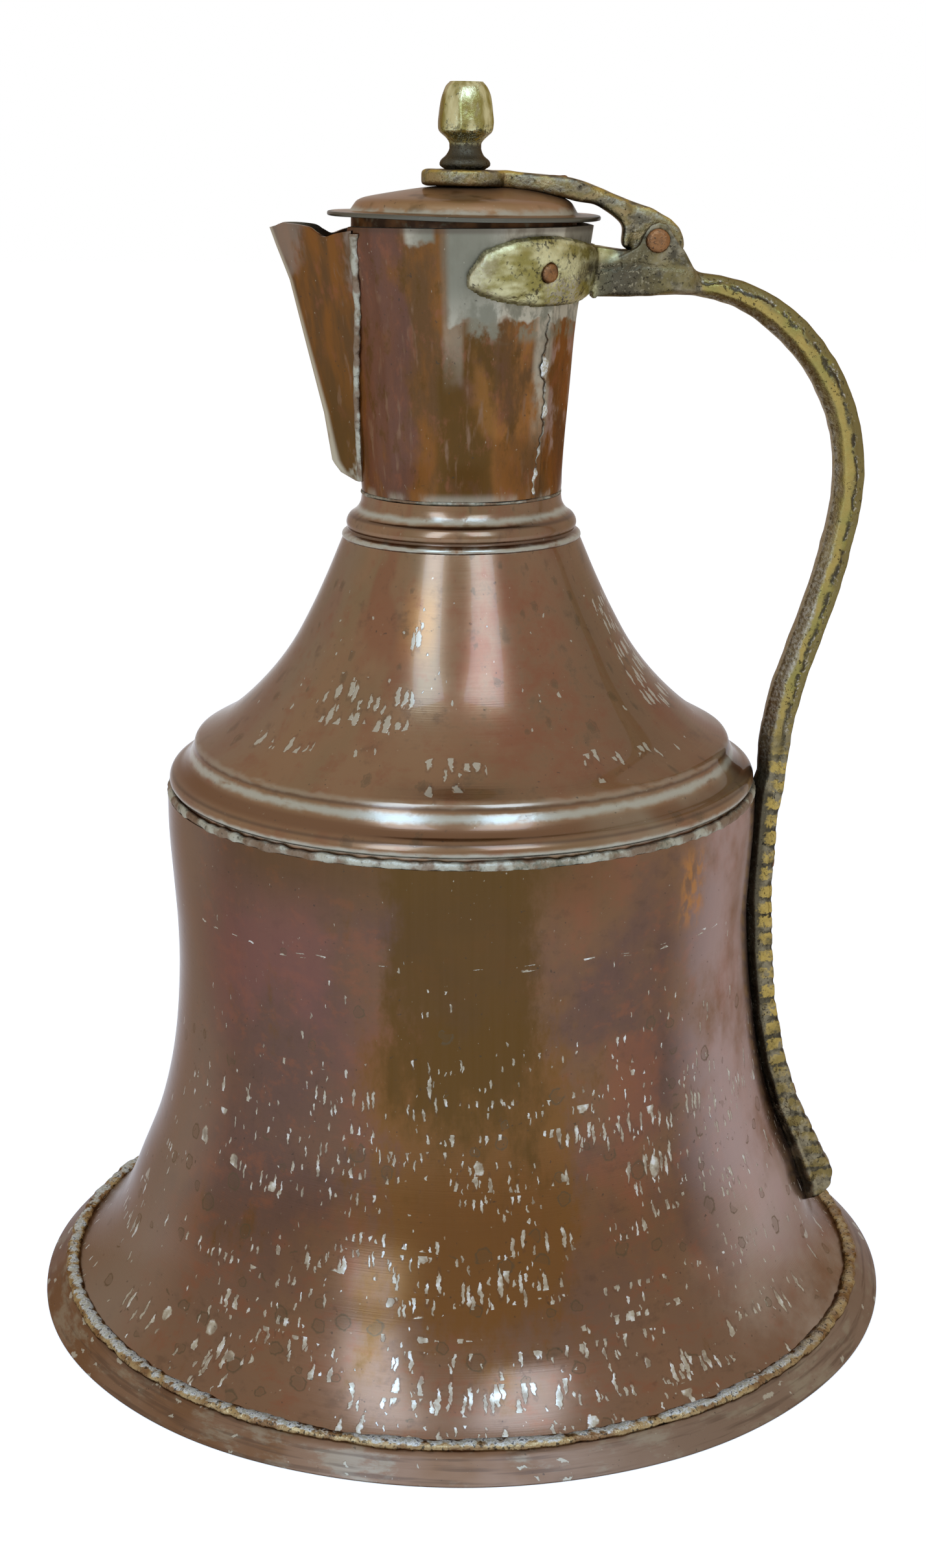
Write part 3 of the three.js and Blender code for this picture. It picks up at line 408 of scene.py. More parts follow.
def notch_top(angle):
    """Where the neck's wall ends at an angle from the handle, behind the spout or at the lip."""
    heights = np.linspace(NOTCH_FOOT, NECK_LIP + 2, 200)
    half = spout_half(heights)
    lean = np.arctan2(half, spout_nose(heights) - np.sqrt(neck_radius(heights) ** 2 - half**2))
    half = half - (SHEET + GAP) / np.cos(lean)
    reach = np.degrees(np.arcsin(half / neck_radius(heights)))
    return np.clip(np.interp(from_spout(angle), reach, heights), NOTCH_FOOT, NECK_LIP)


def make_neck():
    outline = curved(NECK_OUTLINE, 1.5)
    profile, values = walls(outline)

    def shape(radius, height, turn):
        top = notch_top(turn)
        low = NECK_FOOT + (height - NECK_FOOT) * (top - NECK_FOOT) / (NECK_LIP - NECK_FOOT)
        wide = radius_at(outline, low)
        dents = 0.12 * waver((wide, low, turn), 14, 31) - 0.06
        outer = radius - radius_at(outline, height) + wide
        return outer * neck_softness(turn, low) + dents, low

    piece = turned("neck_sheet", profile, 360, values, shape)
    return stands_for(piece, "neck_tube", "vessel")


# Solder


def bead_ring(part, centre, size, seed, rough, sides, sway):
    """An uneven ring of solder with a round section; sway moves its line up and down."""
    middle_radius, middle_height = centre
    wide, high = size
    turns = np.linspace(0, 2 * math.pi, 14, endpoint=False)
    profile = [
        (middle_radius + wide * math.cos(t), middle_height + high * math.sin(t)) for t in turns
    ]

    def shape(radius, height, turn):
        places = (radius, height, turn)
        swell = 0.88 + rough * (0.6 * waver(places, 9, seed) + 0.5 * waver(places, 2.2, seed + 1))
        swell = np.clip(swell, 0.35, 1.0)
        drift = sway * (np.sin(turn * 3 + 1) + 0.6 * np.sin(turn * 7))
        return (
            middle_radius + (radius - middle_radius) * swell,
            middle_height + (height - middle_height) * swell + drift,
        )

    piece = turned(f"{part}_solder", profile, sides, shape=shape, smooth_angle=ALL_SMOOTH)
    return stands_for(piece, f"{part}_solder_ring", "vessel")


def strip(name, node, line, proud, seed, sunk=0.3):
    """A low uneven strip of solder. Each place on its line is a point, out, sideways, half width."""
    arcs = np.linspace(-1, 1, 9)
    points, outs, halves = [], [], []
    for place, out, side, half in line:
        points += [place + side * half * a + out * proud * (1 - a * a) for a in arcs]
        points += [place + side * half * a * 0.98 - out * sunk for a in arcs[::-1]]
        outs += [out] * (2 * len(arcs))
        halves += [half] * (2 * len(arcs))
    points = np.array(points)
    uneven = lumps(points, 2.4, seed) * 0.18 * proud
    points = points + np.array(outs) * uneven[:, None]
    rows, count = len(line), 2 * len(arcs)
    faces = grid_faces(rows, count)
    faces.append(tuple(range(count))[::-1])
    faces.append(tuple(range((rows - 1) * count, rows * count)))
    piece = mesh_object(name, points, faces, {"width": halves}, ALL_SMOOTH)
    return stands_for(piece, node, "vessel")


def make_neck_seam():
    """The thin line of the neck's lap seam below the front wing, with blobs of solder on it."""
    line = []
    for height, turn in curved(SEAM_PATH, 0.4):
        sway = 0.5 * math.sin(height * 1.1) + 0.4 * math.sin(height * 2.3 + 1)
        angle = math.radians(turn + sway)
        out = np.array([math.cos(angle), math.sin(angle), 0])
        side = np.array([-math.sin(angle), math.cos(angle), 0])
        swells = [half * math.exp(-(((height - at) / long) ** 2)) for at, long, half in SEAM_BLOBS]
        wall = neck_radius(height) * neck_softness(angle, height) - 0.12
        line.append((out * wall + (0, 0, height), out, side, max(SEAM_HALF, *swells)))
    return strip("neck_seam", "neck_seam_solder", line, 0.26, 53)


def make_spout_bead(side):
    line = []
    for h in np.linspace(BEAD_FOOT, BEAD_TOP, 150):
        half = float(spout_half(h))
        seam = np.array([-math.sqrt(neck_radius(h) ** 2 - half**2), side * half, h])
        nose = np.array([-float(spout_nose(h)), 0, h])
        wall = unit(nose - seam)
        out = np.array([seam[0], seam[1], 0]) / math.hypot(seam[0], seam[1])
        around = np.array([-out[1], out[0], 0])
        around = around if around[0] > 0 else -around
        wall_out = np.array([wall[1], -wall[0], 0])
        wall_out = wall_out if wall_out @ out > 0 else -wall_out
        lift, across = unit(out + wall_out), unit(wall - around)
        rise = (h - BEAD_FOOT) / (BEAD_TOP - BEAD_FOOT)
        uneven = 0.2 * math.sin(h * 0.9 + side) + 0.15 * math.sin(h * 2.1)
        width = 1.15 + uneven + 0.4 * max(0.0, (rise - 0.72) / 0.28) + 1.5 * max(0.0, 1 - rise / 0.07)
        line.append((seam + lift * 0.3 - across * 0.65, lift, across, width))
    name = "front" if side < 0 else "back"
    return strip(f"spout_bead_{name}", f"spout_solder_{name}", line, 0.75, 61 + side, 0.9)


# Spout


def spout_rim(share):
    line = curved(SPOUT_RIM_SHARES, 0.02)
    return SPOUT_PEAK - SPOUT_RIM_DIP * (1 - between_rows(line, share))


def spout_skin(inward, foot, columns, rows):
    """Points of the folded V between its foot and its wavy rim, moved in by `inward`."""
    soft = 0.07
    across = np.linspace(-1, 1, columns)
    near = (np.sqrt(across**2 + soft**2) - soft) / (math.sqrt(1 + soft**2) - soft)
    top = spout_rim(near)
    points = []
    for r in range(rows):
        height = foot + (top - foot) * r / (rows - 1)
        half = spout_half(height)
        nose = spout_nose(height)
        neck_x = np.sqrt(neck_radius(height) ** 2 - half**2)
        lean = np.arctan2(half, nose - neck_x)
        nose_in = nose - inward / np.sin(lean) * 0.8
        out = neck_x + 0.35 - (0 if inward == 0 else 0.2)
        bulge = 0.5 * np.sin(np.pi * np.abs(across)) * (1 - r / (rows - 1))
        x = -(nose_in + (out - nose_in) * near)
        y = (half - inward / np.cos(lean)) * across + np.sign(across) * bulge * 0.4
        points.append(np.stack([x, y, height], axis=-1))
    return np.array(points)


def make_spout():
    columns, rows = 81, 60
    outer = spout_skin(0, SPOUT_FOOT, columns, rows)
    inner = spout_skin(SHEET, SPOUT_FOOT + SPOUT_FLOOR, columns, rows)
    rim = (outer[-1] + inner[-1]) / 2
    points = np.vstack([outer.reshape(-1, 3), rim, inner[::-1].reshape(-1, 3)])
    last = rows * 2
    faces = grid_faces(last + 1, columns, wrap_rows=True, wrap_columns=False)
    for k in range(rows - 1):
        a, b, c, d = k, k + 1, last - k - 1, last - k
        faces.append(tuple(r * columns for r in (a, b, c, d)))
        faces.append(tuple((r + 1) * columns - 1 for r in (b, a, d, c)))
    sideways = [lumps(points, 16, seed) * 0.1 for seed in (71, 72)]
    points = points + np.stack([*sideways, np.zeros(len(points))], axis=-1)
    inside = inside_after((rows + 1) * columns, rows * columns)
    piece = mesh_object("spout_sheet", points, faces, {"inside": inside}, smooth_angle=50)
    return stands_for(piece, "spout", "vessel")


# Castings: the CAD solid, remeshed and softened, then roughened as cast brass is


def vectors(source, name):
    """A mesh's points or normals, one to a row."""
    numbers = np.empty(len(source) * 3)
    source.foreach_get(name, numbers)
    return numbers.reshape(-1, 3)


def casting(name, node, body, shape, melt=None, *, voxel, soften):
    """The CAD solid remeshed and softened, more where melt() says, then moved by shape()."""
    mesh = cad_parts[node].data.copy()
    mesh.materials.clear()
    piece = add_object(name, mesh)
    remesh = piece.modifiers.new("voxels", "REMESH")
    remesh.mode = "VOXEL"
    remesh.voxel_size = voxel * MM
    smooth = piece.modifiers.new("soften", "SMOOTH")
    smooth.iterations = soften
    smooth.factor = 0.5
    bpy.context.view_layer.update()
    done = piece.evaluated_get(bpy.context.evaluated_depsgraph_get())
    baked = bpy.data.meshes.new_from_object(done)
    piece.modifiers.clear()
    piece.data = baked
    baked.name = name
    points = vectors(baked.vertices, "co") / MM
    if melt is not None:
        points = melted(baked, points, melt(points))
        baked.vertices.foreach_set("co", (points * MM).reshape(-1))
        baked.update()
    moves, values = shape(points, vectors(baked.vertex_normals, "vector"))
    baked.vertices.foreach_set("co", ((points + moves) * MM).reshape(-1))
    store(baked, **values)
    baked.update()
    baked.shade_smooth()
    return stands_for(piece, node, body)


def melted(mesh, points, share):
    """Points drawn towards the mean of their neighbours, each by its share, over many rounds."""
    ends = np.empty(len(mesh.edges) * 2, dtype=np.int32)
    mesh.edges.foreach_get("vertices", ends)
    first, second = ends.reshape(-1, 2).T
    count = np.bincount(ends, minlength=len(points))[:, None]
    for _ in range(MELT_ROUNDS):
        total = np.zeros_like(points)
        for axis in range(3):
            total[:, axis] = np.bincount(first, points[second, axis], len(points))
            total[:, axis] += np.bincount(second, points[first, axis], len(points))
        points = points + (total / count - points) * share[:, None]
    return points


def across_bar(points):
    """Where each point of the handle's loop lies, from its inner side, -1, to its outer side, 1."""
    loop = points[:, (0, 2)] - LOOP_MIDDLE
    turn = np.degrees(np.arctan2(loop[:, 1], loop[:, 0]))
    reach = np.hypot(loop[:, 0], loop[:, 1])
    step = 2.5
    ends = []
    for low in np.arange(-80, 95, step):
        here = reach[(turn >= low) & (turn < low + step) & (points[:, 0] > 60)]
        if len(here):
            ends.append((low + step / 2, here.min(), here.max()))
    stops, inner, outer = np.array(ends).T
    inner, outer = np.interp(turn, stops, inner), np.interp(turn, stops, outer)
    return np.clip(2 * (reach - inner) / (outer - inner) - 1, -1, 1)


def tail_moves(points):
    """Shortens the tail, and keeps it and its rivets seated on the swell of the bell."""
    x, y, z = points.T
    low = fade(z, 46, min(z.min(), 40)) * (z < 46)
    slope = (radius_at(BELL_OUTLINE, z + 1) - radius_at(BELL_OUTLINE, z - 1)) / 2
    rise = TAIL_CUT * low / np.hypot(slope, 1)
    reach = np.hypot(x, y)
    deep = np.clip(1 - (reach - radius_at(BELL_OUTLINE, z)) / TAIL_DEPTH, 0, 1)
    out = rise * slope + tail_swell(np.arctan2(y, x), z + rise) * deep
    return np.column_stack([x / reach * out, y / reach * out, rise]) * (z < 150)[:, None]


def handle_shape(points, normals):
    """Cast pits and swells, chisel notches across the tail, and a close seat on the jug."""
    x, y, z = points.T
    across = across_bar(points)
    swell = 0.16 * lumps(points, 9, 81) + 0.08 * lumps(points, 2.6, 82)
    swell = np.where(x < 45, swell * 0.5, swell) - 0.2
    tail = fade(z, 150, 142) * fade(normals @ (1, 0, 0), 0.1, 0.5)
    place = z + 1.2 * lumps(points, 14, 83) + 0.35 * y
    bars = np.clip(np.cos(place * 2 * math.pi / CHISEL_PITCH) - 0.1, 0, 1)
    notch = bars * tail
    depth = notch * (0.22 + 0.14 * lumps(points, 11, 84))
    radial = points * (1, 1, 0) / np.hypot(x, y)[:, None]
    inward = -(normals * radial).sum(axis=1)
    seat = fade(z, 153, 149) * fade(inward, 0.15, 0.6) * 1.15
    seat += fade(z, 268, 274) * fade(x, 46, 40) * fade(inward, 0.15, 0.6) * 0.95
    ridge = 0.22 * np.exp(-(((across - 0.3) / 0.13) ** 2)) * fade(x, 66, 72) * fade(z, 160, 175)
    moves = normals * (swell - depth + seat + ridge)[:, None] + tail_moves(points)
    proud = np.clip((np.hypot(x, y) - radius_at(BELL_OUTLINE, z)) / TAIL_DEPTH, 0, 1)
    return moves, {"across": across, "notch": notch, "bars": bars, "proud": proud}


def block_share(points):
    """High in the handle's block between its wings, below its ears."""
    x, _, z = points.T
    return 0.9 * fade(x, 36, 40) * fade(x, 67, 62) * fade(z, 297, 292) * fade(z, 262, 268)


def blade_share(points):
    """High where the lid's arm narrows to its blade."""
    x, _, z = points.T
    return 0.9 * fade(x, 32, 37) * fade(x, 50, 46) * fade(z, 298, 302)


def arm_shape(points, normals):
    """Uneven, and grown by what the softening took."""
    swell = 0.1 * lumps(points, 7, 86) + 0.06 * lumps(points, 2.4, 87)
    return normals * (swell + 0.28)[:, None], {"up": normals[:, 2]}


def rivet_shape(seed, sink, grow):
    """A hammered head, grown to fill its hole; sink lowers the upper one."""

    def shape(points, normals):
        moves = normals * (0.12 * lumps(points, 2.5, seed) + grow)[:, None] + tail_moves(points)
        top = points[:, 2].max()
        moves[:, 2] -= sink * fade(points[:, 2], top - 4, top - 2)
        return moves, {}

    return shape


def make_handle():
    return casting(
        "handle_casting", "handle", "vessel", handle_shape, block_share,
        voxel=0.5, soften=12,
    )


def make_arm():
    return casting(
        "arm_casting", "lid_arm", "lid", arm_shape, blade_share,
        voxel=0.4, soften=26,
    )


def make_rivet(seed, node, body, sink, grow):
    shape = rivet_shape(seed, sink, grow)
    return casting(node + "_copper", node, body, shape, voxel=0.22, soften=3)


# Lid


def turned_on_jug(*args, **options):
    """A turned piece of the lid, moved from the lid's own frame to its rest: open a little."""
    pin = Vector(PIN) * MM
    piece = turned(*args, **options)
    piece.data.transform(
        Matrix.Translation(pin)
        @ Matrix.Rotation(REST_TILT, 4, "Y")
        @ Matrix.Translation(-pin)
        @ Matrix.Translation((LID_OFFSET * MM, 0, 0))
    )
    return piece


def make_cover():
    brim, step, dome, under = (
        [(radius, BRIM_FOOT + rise) for radius, rise in table]
        for table in (COVER_BRIM, COVER_STEP, COVER_DOME, COVER_UNDER)
    )
    outline = np.vstack([brim, curved(step, 0.5), curved(dome, 0.8)])
    values = {"inside": inside_after(len(outline), len(under))}

    def shape(radius, height, turn):
        uneven = 0.35 * np.sin(turn * 2 + 0.6) + 0.2 * np.sin(turn * 5) - 0.1
        edge = fade(radius, 29, 36)
        x, y = radius * np.cos(turn), radius * np.sin(turn)
        bent = DOME_BEND * np.exp(-(((x - 20) / 10) ** 2) - (y / 13) ** 2) * fade(radius, 31, 28)
        bent *= fade(height, BRIM_FOOT + 0.6, BRIM_FOOT + 3)
        return radius - 0.12 * edge * (1 + np.sin(turn * 7)), height + uneven * edge * 0.35 + bent

    profile = np.vstack([outline, under])
    piece = turned_on_jug("cover_sheet", profile, 240, values, shape, smooth_angle=35)
    return stands_for(piece, "lid_cover", "lid")


def make_collar():
    drops = (COLLAR_DEPTH, COLLAR_DEPTH / 2, 0)
    line = curved([(COLLAR_RADIUS, COLLAR_TOP - drop) for drop in drops], 1.0)
    profile, values = walls(line)
    piece = turned_on_jug("collar_sheet", profile, 180, values, beaten(0.08, 12, 101))
    return stands_for(piece, "lid_collar", "lid")


def finial_at(share):
    """The height at a share of the way up the finial."""
    return FINIAL_FOOT + FINIAL_HEIGHT * share


def make_finial():
    head = DOME_TOP - SHEET - 0.6
    bulb = [(FINIAL_RADIUS * out, finial_at(rise)) for out, rise in FINIAL_SHARES]
    outline = np.vstack([
        [(0.3, head - 1.3), (4.2, head - 1.3), (4.2, head), (2.6, head)],
        [(2.6, FINIAL_FOOT + 0.02), (5.2, FINIAL_FOOT + 0.02)],
        curved(bulb, 0.5),
        [(4.2, FINIAL_FOOT + 22.35), (3.6, finial_at(1)), (0.3, finial_at(1))],
    ])

    def shape(radius, height, turn):
        rise = (height - FINIAL_FOOT) / FINIAL_HEIGHT
        soft = facets(turn + 0.15, FINIAL_FACETS, fade(rise, 0.38, 0.48) * 0.55)
        places = (radius, height, turn)
        dents = 0.1 * waver(places, 4.5, 111) + 0.05 * waver(places, 1.5, 112)
        return np.maximum(radius * soft + (dents - 0.08) * (radius > 4.3), 0.0), height

    piece = turned_on_jug("finial_casting", outline, 120, shape=shape, smooth_angle=50)
    return stands_for(piece, "finial", "lid")


# Materials


class Value:
    """A number that varies over a surface: a node's output, with arithmetic that adds nodes."""

    def __init__(self, paint, socket):
        self.paint, self.socket = paint, socket

    def __add__(self, other):
        return self.paint.math("ADD", self, other)

    def __sub__(self, other):
        return self.paint.math("SUBTRACT", self, other)

    def __mul__(self, other):
        return self.paint.math("MULTIPLY", self, other)

    def __or__(self, other):
        """The greater of the two."""
        return self.paint.math("MAXIMUM", self, other)

    def __abs__(self):
        return self.paint.math("ABSOLUTE", self)

    def ramp(self, low, high):
        """0 at low, 1 at high, smooth between; low may be the greater."""
        node = self.paint.node("ShaderNodeMapRange", Value=self)
        node.interpolation_type = "SMOOTHSTEP"
        ends = (low, high, 0.0, 1.0) if low <= high else (high, low, 1.0, 0.0)
        for name, end in zip(("From Min", "From Max", "To Min", "To Max"), ends):
            node.inputs[name].default_value = end
        return Value(self.paint, node.outputs["Result"])

    def window(self, low, high, soft):
        """1 between low and high, fading out over soft."""
        return self.ramp(low - soft, low + soft) * self.ramp(high + soft, high - soft)

    def bands(self, windows):
        return reduce(or_, [self.window(*window) for window in windows])

    def drift(self, amount):
        """A noise moved to lie around zero, and as wide as the amount."""
        return (self - 0.5) * amount

    def ragged(self, noise, amount):
        """A mask with its edge moved about by a noise."""
        return (self + noise.drift(amount)).ramp(0.2, 0.8)

    def between(self, first, second):
        """The first number where this is 0, the second where it is 1."""
        node = self.paint.node("ShaderNodeMix")
        for index, value in ((0, self), (2, first), (3, second)):
            self.paint.set(node.inputs[index], value)
        return Value(self.paint, node.outputs[0])

    def mix(self, first, second):
        """The first colour where this is 0, the second where it is 1."""
        node = self.paint.node("ShaderNodeMix")
        node.data_type = "RGBA"
        for index, value in ((0, self), (6, first), (7, second)):
            self.paint.set(node.inputs[index], value)
        return node.outputs[2]


def layered(look, *layers):
    """A colour with others laid over it, each through its mask."""
    for color, mask in layers:
        look = mask.mix(look, color)
    return look


class Paint:
    """A procedural material under construction. Sizes and places are in mm, in the jug's frame."""

    def __init__(self, name):
        self.material = bpy.data.materials.new(name)
        self.material.use_nodes = True
        self.tree = self.material.node_tree
        self.shader = self.tree.nodes["Principled BSDF"]
        coordinates = self.node("ShaderNodeTexCoord")
        self.place = self.vector("SCALE", coordinates.outputs["Object"], scale=1 / MM)
        self.x, self.y, self.z = self.split(self.place)
        self.look = None

    def set(self, socket, value):
        if isinstance(value, Value):
            value = value.socket
        if isinstance(value, bpy.types.NodeSocket):
            self.tree.links.new(value, socket)
        elif socket.type == "RGBA":
            socket.default_value = (*value, 1.0)
        else:
            socket.default_value = value

    def node(self, kind, **inputs):
        node = self.tree.nodes.new(kind)
        for name, value in inputs.items():
            self.set(node.inputs[name], value)
        return node

    def math(self, operation, a, b=0.0):
        node = self.node("ShaderNodeMath")
        node.operation = operation
        self.set(node.inputs[0], a)
        self.set(node.inputs[1], b)
        return Value(self, node.outputs[0])

    def vector(self, operation, a, b=None, scale=None):
        node = self.node("ShaderNodeVectorMath")
        node.operation = operation
        self.set(node.inputs[0], a)
        if b is not None:
            self.set(node.inputs[1], b)
        if scale is not None:
            node.inputs["Scale"].default_value = scale
        return node.outputs["Value" if operation in ("LENGTH", "DOT_PRODUCT") else "Vector"]

    def split(self, place):
        node = self.node("ShaderNodeSeparateXYZ")
        self.set(node.inputs[0], place)
        return [Value(self, output) for output in node.outputs]

    def joined(self, x, y, z):
        return self.node("ShaderNodeCombineXYZ", X=x, Y=y, Z=z).outputs[0]

    def kept(self, name):
        """A value stored at the mesh's points."""
        node = self.node("ShaderNodeAttribute")
        node.attribute_name = name
        return Value(self, node.outputs["Fac"])

    def barrel(self, radius, rise=None):
        """Places moved to a cylinder, so that marks keep their size all the way round."""
        flat = self.vector("NORMALIZE", self.vector("MULTIPLY", self.place, (1, 1, 0)))
        rise = self.joined(0.0, 0.0, rise or self.z)
        return self.vector("ADD", self.vector("SCALE", flat, scale=radius), rise)

    def unrolled(self, radius, rise=None):
        """Flat places: round the jug, starting behind the handle, and up it."""
        turn = self.math("ARCTAN2", self.y * -1.0, self.x * -1.0)
        return self.joined(turn * radius, rise or self.z, 0.0)

    def stretched(self, sizes, place, shift):
        """Places divided by a width in mm along each axis."""
        sizes = (sizes,) * 3 if isinstance(sizes, (int, float)) else sizes
        return self.vector("DIVIDE", self.vector("ADD", place or self.place, shift), sizes)

    def noise_node(self, sizes, detail, rough, shift, place):
        return self.node(
            "ShaderNodeTexNoise", Vector=self.stretched(sizes, place, shift), Scale=1.0,
            Detail=detail, Roughness=rough,
        )

    def noise(self, sizes, shift, place=None, detail=3.0, rough=0.55):
        return Value(self, self.noise_node(sizes, detail, rough, shift, place).outputs["Fac"])

    def shaken(self, place, size, amount):
        """Places moved about unevenly, by up to half the amount in mm."""
        drift = self.noise_node(size, 2.0, 0.6, (0, 0, 0), place).outputs["Color"]
        drift = self.vector("SUBTRACT", drift, (0.5, 0.5, 0.5))
        return self.vector("ADD", place, self.vector("SCALE", drift, scale=amount))

    def marks(self, place, sizes, reach, spread, shift=(0, 0, 0), jitter=0.8):
        """Marks on flat places and the rims round them: one per cell, in a spread share of cells.

        Each reaches from its middle by a share of its cell, between the two of reach.
        """
        node = self.node("ShaderNodeTexVoronoi")
        node.voronoi_dimensions = "2D"
        self.set(node.inputs["Vector"], self.stretched((*sizes, 1), place, shift))
        node.inputs["Scale"].default_value = 1.0
        node.inputs["Randomness"].default_value = jitter
        chance, size, _ = self.split(node.outputs["Color"])
        ratio = self.math("DIVIDE", node.outputs["Distance"], size.between(*reach))
        there = self.math("GREATER_THAN", spread, chance)
        return ratio.ramp(1.0, 0.75) * there, ratio.window(1.0, 1.25, 0.2) * there

    def facing(self, angle, inner, outer, both=True):
        """1 within inner degrees of an angle round the jug, 0 beyond outer; on both sides or one."""
        y = abs(self.y) * -1.0 if both else self.y
        flat = self.vector("NORMALIZE", self.joined(self.x, y, 0.0))
        way = (math.cos(math.radians(angle)), math.sin(math.radians(angle)), 0)
        near, far = math.cos(math.radians(inner)), math.cos(math.radians(outer))
        return Value(self, self.vector("DOT_PRODUCT", flat, way)).ramp(far, near)

    def radius(self, shift):
        """Distance from the upright axis, after a shift of the places."""
        moved = self.vector("ADD", self.place, shift)
        return Value(self, self.vector("LENGTH", self.vector("MULTIPLY", moved, (1, 1, 0))))

    def over(self, color, mask):
        """Lays a colour over the look, through a mask."""
        self.look = mask.mix(self.look, color)

    def brushed(self, barrel):
        """Fine level scratches, as a polishing wheel leaves them."""
        return self.noise((34, 34, 0.32), (3, 7, 1), barrel, detail=2.0)

    def pricked(self):
        """Dark pinpricks and small pale wear all over old copper."""
        dark = self.noise(1.3, (6, 2, 9), detail=2.0).ramp(0.70, 0.76)
        pale = self.noise((1.0, 1.0, 1.6), (1, 9, 4), detail=2.0).ramp(0.72, 0.79)
        self.over(GRIME, dark * 0.6)
        self.over(TIN, pale * 0.55)

    def tinned_inside(self, rough):
        """Lays dull grey tin over the jug's inside, and gives the roughness with the tin's."""
        inside = self.kept("inside")
        self.over(self.noise(12, (4, 4, 9)).ramp(0.35, 0.6).mix(TIN_DARK, TIN_GREY), inside)
        return inside.between(rough, 0.5)

    def cast_pits(self):
        """Small pits of a casting, thick in some places and rare in others."""
        fine = self.noise(1.2, (8, 3, 1), detail=4.0, rough=0.65)
        return fine.ramp(0.6, 0.68) * self.noise(9, (5, 2, 8)).ramp(0.36, 0.56)

    def coat(self, weight, roughness):
        """A thin clear film of age and polish, which reflects lamps white."""
        self.set(self.shader.inputs["Coat Weight"], weight)
        self.set(self.shader.inputs["Coat Roughness"], roughness)

    def finish(self, piece, roughness, metallic, height, depth):
        """Gives the piece this material; the height stands out by the depth in mm."""
        bump = self.node("ShaderNodeBump", Height=height, Distance=depth * MM, Strength=1.0)
        for name, value in {
            "Base Color": self.look, "Roughness": roughness, "Metallic": metallic,
            "Specular Tint": EDGE_TINT, "Normal": bump.outputs["Normal"],
        }.items():
            self.set(self.shader.inputs[name], value)
        piece.data.materials.clear()
        piece.data.materials.append(self.material)


# Colours, as linear light
BROWN = (0.136, 0.067, 0.031)
PURPLE = (0.092, 0.049, 0.034)
CRIMSON = (0.150, 0.058, 0.048)
RED = (0.172, 0.062, 0.030)
OLIVE = (0.070, 0.034, 0.006)
AMBER = (0.134, 0.057, 0.011)
PINK = (0.164, 0.092, 0.052)
LILAC = (0.41, 0.30, 0.265)
ASHEN = (0.29, 0.235, 0.185)
GREY_BROWN = (0.20, 0.152, 0.113)
ORANGE = (0.34, 0.14, 0.035)
EDGE_TINT = (0.50, 0.41, 0.37)  # of all metals, seen at a grazing angle
CONE = (0.196, 0.110, 0.056)
CONE_DULL = (0.170, 0.104, 0.052)
NECK_ORANGE = (0.150, 0.058, 0.013)
NECK_BROWN = (0.090, 0.043, 0.015)
NECK_DARK = (0.070, 0.033, 0.006)
NECK_PURPLE = (0.098, 0.044, 0.032)
DARK = (0.06, 0.035, 0.022)
SPOT = (0.072, 0.052, 0.028)
GRIME = (0.035, 0.028, 0.02)
TIN = (0.37, 0.32, 0.225)
TIN_BRIGHT = (0.56, 0.54, 0.48)
TIN_GREY = (0.235, 0.197, 0.132)
TIN_DARK = (0.155, 0.14, 0.092)
RESIDUE = (0.35, 0.32, 0.235)
TAN = (0.30, 0.21, 0.10)
GOLD = (0.41, 0.28, 0.070)
GOLD_GREEN = (0.215, 0.175, 0.050)
GOLD_PALE = (0.48, 0.43, 0.23)
BRASS_DULL = (0.155, 0.118, 0.045)
BRASS_GREY = (0.225, 0.182, 0.108)
BRASS_WORN = (0.34, 0.29, 0.21)
BRASS_DARK = (0.062, 0.050, 0.030)
RIVET = (0.200, 0.092, 0.036)
LID = (0.245, 0.143, 0.066)
LID_WARM = (0.27, 0.153, 0.078)
LID_EDGE = (0.07, 0.072, 0.055)

RAGGED = {"detail": 8.0, "rough": 0.7}  # a noise with torn edges


